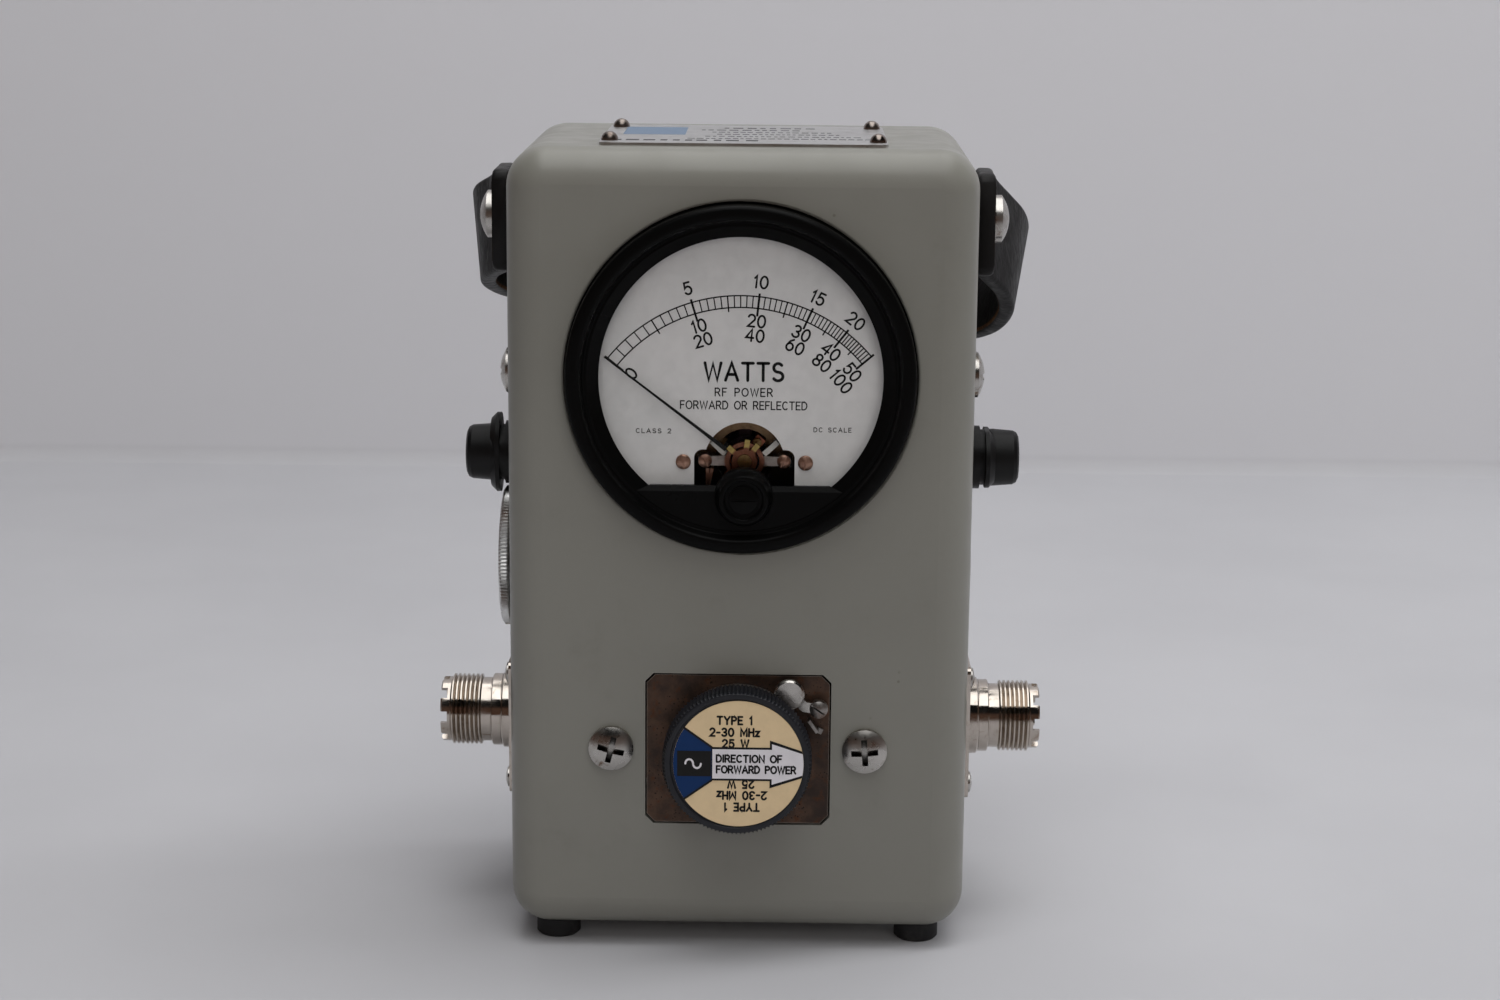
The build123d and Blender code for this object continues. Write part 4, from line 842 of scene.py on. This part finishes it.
# -------------------- stored element
def make_stored_cap():
    """The stored element's grip, which faces the left side, and the plain label in its well."""
    bm = bmesh.new()
    low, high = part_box("stored_element_cap")
    middle = (low + high) / 2
    centre = (0, middle.y, middle.z)
    radius = (high.z - low.z) / 2
    out, back = low.x, high.x
    well_x, teeth, per_tooth = out + 0.0004, 120, 6
    profile = [(back, 0.0), (back, radius - 0.0003, 0.0001), (back - 0.0004, radius, 0.0001),
               (out + 0.0005, radius, 0.0002), (out, radius - 0.0007, 0.0003), (out, 0.0142, 0.0002),
               (well_x, 0.0141, 0.0001), (well_x, 0.0)]
    lathe(bm, rounded(profile, 3), centre, axis="X", segments=teeth * per_tooth, teeth=teeth,
          tooth_depth=0.0003, toothed=(well_x, back - 0.0002))
    finish_piece("stored_element_grip", bm, "knurl_aluminium", "instrument",
                 ("stored_element_cap",), GRIP_SMOOTH)
    bm = bmesh.new()
    label_x, label_r = out + 0.0001, 0.0139
    lathe(bm, [(well_x, 0.0), (well_x, label_r), (label_x, label_r), (label_x, 0.0)], centre, axis="X")
    finish_piece("stored_element_label", bm, "label_cream", "instrument")


make_stored_cap()


# -------------------- carrying strap
# TAB_X is the middle of the leather under a washer. Distances along the band are measured from the screws.
STRAP_T, STRAP_W = 0.0037, 0.0220
strap_pivot = centre_of("strap_screws")
TAB_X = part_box("strap_washers")[1].x - 0.0009 - STRAP_T / 2
STRAP_REACH = 0.0540 + STRAP_T / 2
STRAP_FRONT = -0.0145
# Degrees the band falls by: in the middle, and how many more at a place as far out as HALF_SPAN.
MEAN_FALL, SIDE_FALL, HALF_SPAN = 24.0, 6.0, 0.060
# How much the upper edge leans outward as the band falls, in full from TWIST_FROM outward.
TWIST, TWIST_FROM = 0.34, 0.05


def strap_lean(x, s):
    """How steeply the band falls towards the back, in radians, at a sideways place and a distance along it.

    It starts level, falls more steeply on the right than on the left, and eases off at the back.
    """
    lean = MEAN_FALL + SIDE_FALL * x / HALF_SPAN
    onset = min(1.0, max(0.0, (s + 0.002) / 0.014))
    ease = min(1.0, max(0.0, (s - 0.026) / 0.020))
    return math.radians(lean * onset * onset * (3 - 2 * onset) * (1.12 - 0.24 * ease))


def strap_point(x, s):
    """Where the middle of the band is, and which way its width runs."""
    steps = 24
    y = z = 0.0
    for i in range(steps):
        lean = strap_lean(x, s * (i + 0.5) / steps)
        y += math.cos(lean) * s / steps
        z -= math.sin(lean) * s / steps
    lean = strap_lean(x, s)
    outward = TWIST * math.sin(lean) * (1 if x > 0 else -1) * min(1.0, abs(x) / TWIST_FROM)
    width_way = Vector((outward, math.sin(lean), math.cos(lean))).normalized()
    return Vector((x, strap_pivot.y + y, strap_pivot.z + z)), width_way


def strap_route():
    """Sideways places and distances along the band's middle, in a smooth curve through a few of them."""
    half = [(TAB_X, STRAP_FRONT), (TAB_X, -0.0060), (TAB_X, 0.0020), (TAB_X + 0.0005, 0.0078),
            (0.0560, 0.0150), (0.0600, 0.0235), (0.0610, 0.0330), (0.0575, 0.0440), (0.0490, 0.0520),
            (0.0360, STRAP_REACH), (0.0180, STRAP_REACH)]
    other = [(-x if s < 0.012 else 0.0012 - x, s) for x, s in reversed(half)]
    places = [Vector(place) for place in half + [(0.0, STRAP_REACH)] + other]
    samples = []
    per_span = 8
    for i in range(len(places) - 1):
        p0 = places[max(0, i - 1)]
        p1, p2 = places[i], places[i + 1]
        p3 = places[min(len(places) - 1, i + 2)]
        for k in range(per_span):
            t = k / per_span
            samples.append(0.5 * ((2 * p1) + (p2 - p0) * t + (2 * p0 - 5 * p1 + 4 * p2 - p3) * t * t
                                  + (3 * p1 - p0 - 3 * p2 + p3) * t ** 3))
    return samples + [places[-1]]


def make_strap():
    """A leather band with softly rounded edges, bowed round the back of the case."""
    centres = [strap_point(p.x, p.y) for p in strap_route()]
    corner, arc_steps = 0.0010, 4
    section = []
    w, t = STRAP_W / 2, STRAP_T / 2
    for sw, st, start in ((1, 1, 0), (-1, 1, 90), (-1, -1, 180), (1, -1, 270)):
        for k in range(arc_steps + 1):
            a = math.radians(start + 90 * k / arc_steps)
            across, out = (w - corner) * sw + corner * math.cos(a), (t - corner) * st + corner * math.sin(a)
            section.append((across, out))
    bm = bmesh.new()
    rings = []
    taper_rings, taper = 3, 0.16
    for i, (centre, width_way) in enumerate(centres):
        ahead = centres[min(len(centres) - 1, i + 1)][0] - centres[max(0, i - 1)][0]
        ahead.normalize()
        outward = width_way.cross(ahead).normalized() * -1.0
        from_end = min(i, len(centres) - 1 - i)
        narrow = 1.0 - taper * max(0.0, 1.0 - from_end / taper_rings) ** 2
        rings.append([bm.verts.new(centre + width_way * a * narrow + outward * b) for a, b in section])
    count = len(section)
    for a, b in zip(rings, rings[1:]):
        for i in range(count):
            j = (i + 1) % count
            face = bm.faces.new((a[i], a[j], b[j], b[i]))
            across, out = (section[i][0] + section[j][0]) / 2, (section[i][1] + section[j][1]) / 2
            # The flesh side gets raw leather only along its lower part; the rest of it gets the black leather
            # look as painted shade.
            unshaded_raw_side = out < -t * 0.75 and across < -w * 0.35 and abs(across) <= w - 0.0003
            face.material_index = 1 if unshaded_raw_side else 0
    for ring in (rings[0], rings[-1]):
        bm.faces.new(ring)
    finish_piece("leather_strap", bm, ["leather", "raw_leather"], "strap",
                 ("carrying_strap",), 60.0)


make_strap()


# -------------------- stage, light and camera
def make_stage():
    """A pale table top that turns up into a paler low wall, which can be seen through from behind."""
    wall_y, bend, bend_steps, half_width, front_y, top_z = 0.49, 0.006, 12, 1.4, -0.66, 0.98
    profile = [(front_y, 0.0), (wall_y - bend, 0.0)]
    for i in range(1, bend_steps + 1):
        a = math.pi / 2 * i / bend_steps
        profile.append((wall_y - bend + bend * math.sin(a), bend - bend * math.cos(a)))
    profile.append((wall_y, top_z))
    bm = bmesh.new()
    rows = [[bm.verts.new((x, y, z)) for x in (-half_width, half_width)] for y, z in profile]
    for a, b in zip(rows, rows[1:]):
        bm.faces.new((a[0], a[1], b[1], b[0]))
    mesh = bpy.data.meshes.new("table_top")
    bm.to_mesh(mesh)
    bm.free()
    mesh.shade_smooth()
    look = Look("table_paper", Roughness=0.85, Specular_IOR_Level=0.2)
    patchy = look.span(look.noise(9.0, 3.0), 0.3, 0.7)
    table = look.mix(patchy, (0.525, 0.525, 0.545), (0.50, 0.50, 0.52))
    height = look.node("ShaderNodeSeparateXYZ", {0: look.place}).outputs["Z"]
    look.wire("Base Color", look.mix(look.span(height, 0.001, 0.008), table, (0.68, 0.68, 0.705)))
    behind = look.node("ShaderNodeNewGeometry").outputs["Backfacing"]
    clear = look.node("ShaderNodeBsdfTransparent").outputs[0]
    look.show(look.node("ShaderNodeMixShader", {0: behind, 1: look.shader.outputs[0], 2: clear}))
    mesh.materials.append(look.material)
    floor = bpy.data.objects.new("table_top", mesh)
    bpy.context.scene.collection.objects.link(floor)


def area_light(name, place, target, size, power, colour, mirrored):
    """A soft rectangular lamp. One that isn't mirrored lights things but doesn't show in shiny surfaces."""
    data = bpy.data.lights.new(name, "AREA")
    data.shape = "RECTANGLE"
    data.size, data.size_y = size
    data.energy = power
    data.color = colour
    lamp = bpy.data.objects.new(name, data)
    lamp.location = place
    lamp.rotation_mode = "QUATERNION"
    lamp.rotation_quaternion = (Vector(target) - Vector(place)).to_track_quat("-Z", "Y")
    lamp.visible_glossy = mirrored
    bpy.context.scene.collection.objects.link(lamp)


# Each lamp: name, place, what it points at, width and height, watts, colour, and whether it is mirrored.
LAMPS = (
    ("overhead_lamp", (0.10, -0.16, 1.30), (0.0, -0.16, 0.0), (2.1, 0.90), 12.8, (1.0, 1.0, 1.0), True),
    ("right_window", (1.5, 0.1, 0.75), (0.0, 0.1, 0.10), (0.8, 0.9), 5.0, (0.96, 0.98, 1.0), False),
    ("room_fill", (0.2, -1.35, 0.55), (0.0, 0.0, 0.08), (1.6, 0.9), 4.5, (1.0, 0.975, 0.95), False),
    ("backdrop_lamp", (0.35, 0.0, 1.15), (0.1, 0.49, 0.45), (1.8, 0.2), 5.2, (0.985, 0.985, 1.0), False),
)


def make_light():
    """A wide lamp overhead, with weaker ones at the right, in front and for the wall.

    Only the overhead lamp is mirrored. The room is dark brown, and nearly black above.
    """
    for lamp in LAMPS:
        area_light(*lamp)
    brown, above, dark_from, dark_to = (0.085, 0.050, 0.036, 1.0), (0.008, 0.008, 0.008, 1.0), 0.28, 0.40
    world = bpy.data.worlds.new("room")
    bpy.context.scene.world = world
    world.use_nodes = True
    tree = world.node_tree
    direction = tree.nodes.new("ShaderNodeTexCoord").outputs["Generated"]
    upward = tree.nodes.new("ShaderNodeSeparateXYZ")
    tree.links.new(direction, upward.inputs[0])
    dark_above = tree.nodes.new("ShaderNodeMapRange")
    tree.links.new(upward.outputs["Z"], dark_above.inputs["Value"])
    dark_above.inputs["From Min"].default_value = dark_from
    dark_above.inputs["From Max"].default_value = dark_to
    room = tree.nodes.new("ShaderNodeMix")
    room.data_type = "RGBA"
    tree.links.new(dark_above.outputs["Result"], room.inputs[0])
    room.inputs[6].default_value = brown
    room.inputs[7].default_value = above
    tree.links.new(room.outputs[2], tree.nodes["Background"].inputs["Color"])
    bpy.context.scene.view_settings.view_transform = "Standard"


def make_camera():
    """The eye is 0.23 m up and 0.58 m in front of the case, looking slightly down."""
    aside, before, above = 0.00970, 0.57987, 0.22652
    yaw, down, roll = -0.013, 0.213, 0.009
    eye = Vector((aside, FRONT_Y - before, above))
    forward = Vector((math.sin(yaw) * math.cos(down), math.cos(yaw) * math.cos(down), -math.sin(down)))
    right = Vector((math.cos(yaw), -math.sin(yaw), 0.0))
    up = right.cross(forward)
    tilted_right = math.cos(roll) * right + math.sin(roll) * up
    tilted_up = -math.sin(roll) * right + math.cos(roll) * up
    data = bpy.data.cameras.new("camera")
    data.sensor_width = 36.0
    data.lens = 67.1
    camera = bpy.data.objects.new("camera", data)
    turn = Matrix((tilted_right, tilted_up, -forward)).transposed()
    camera.matrix_world = Matrix.Translation(eye) @ turn.to_4x4()
    bpy.context.scene.collection.objects.link(camera)
    bpy.context.scene.camera = camera


make_stage()
make_light()
make_camera()
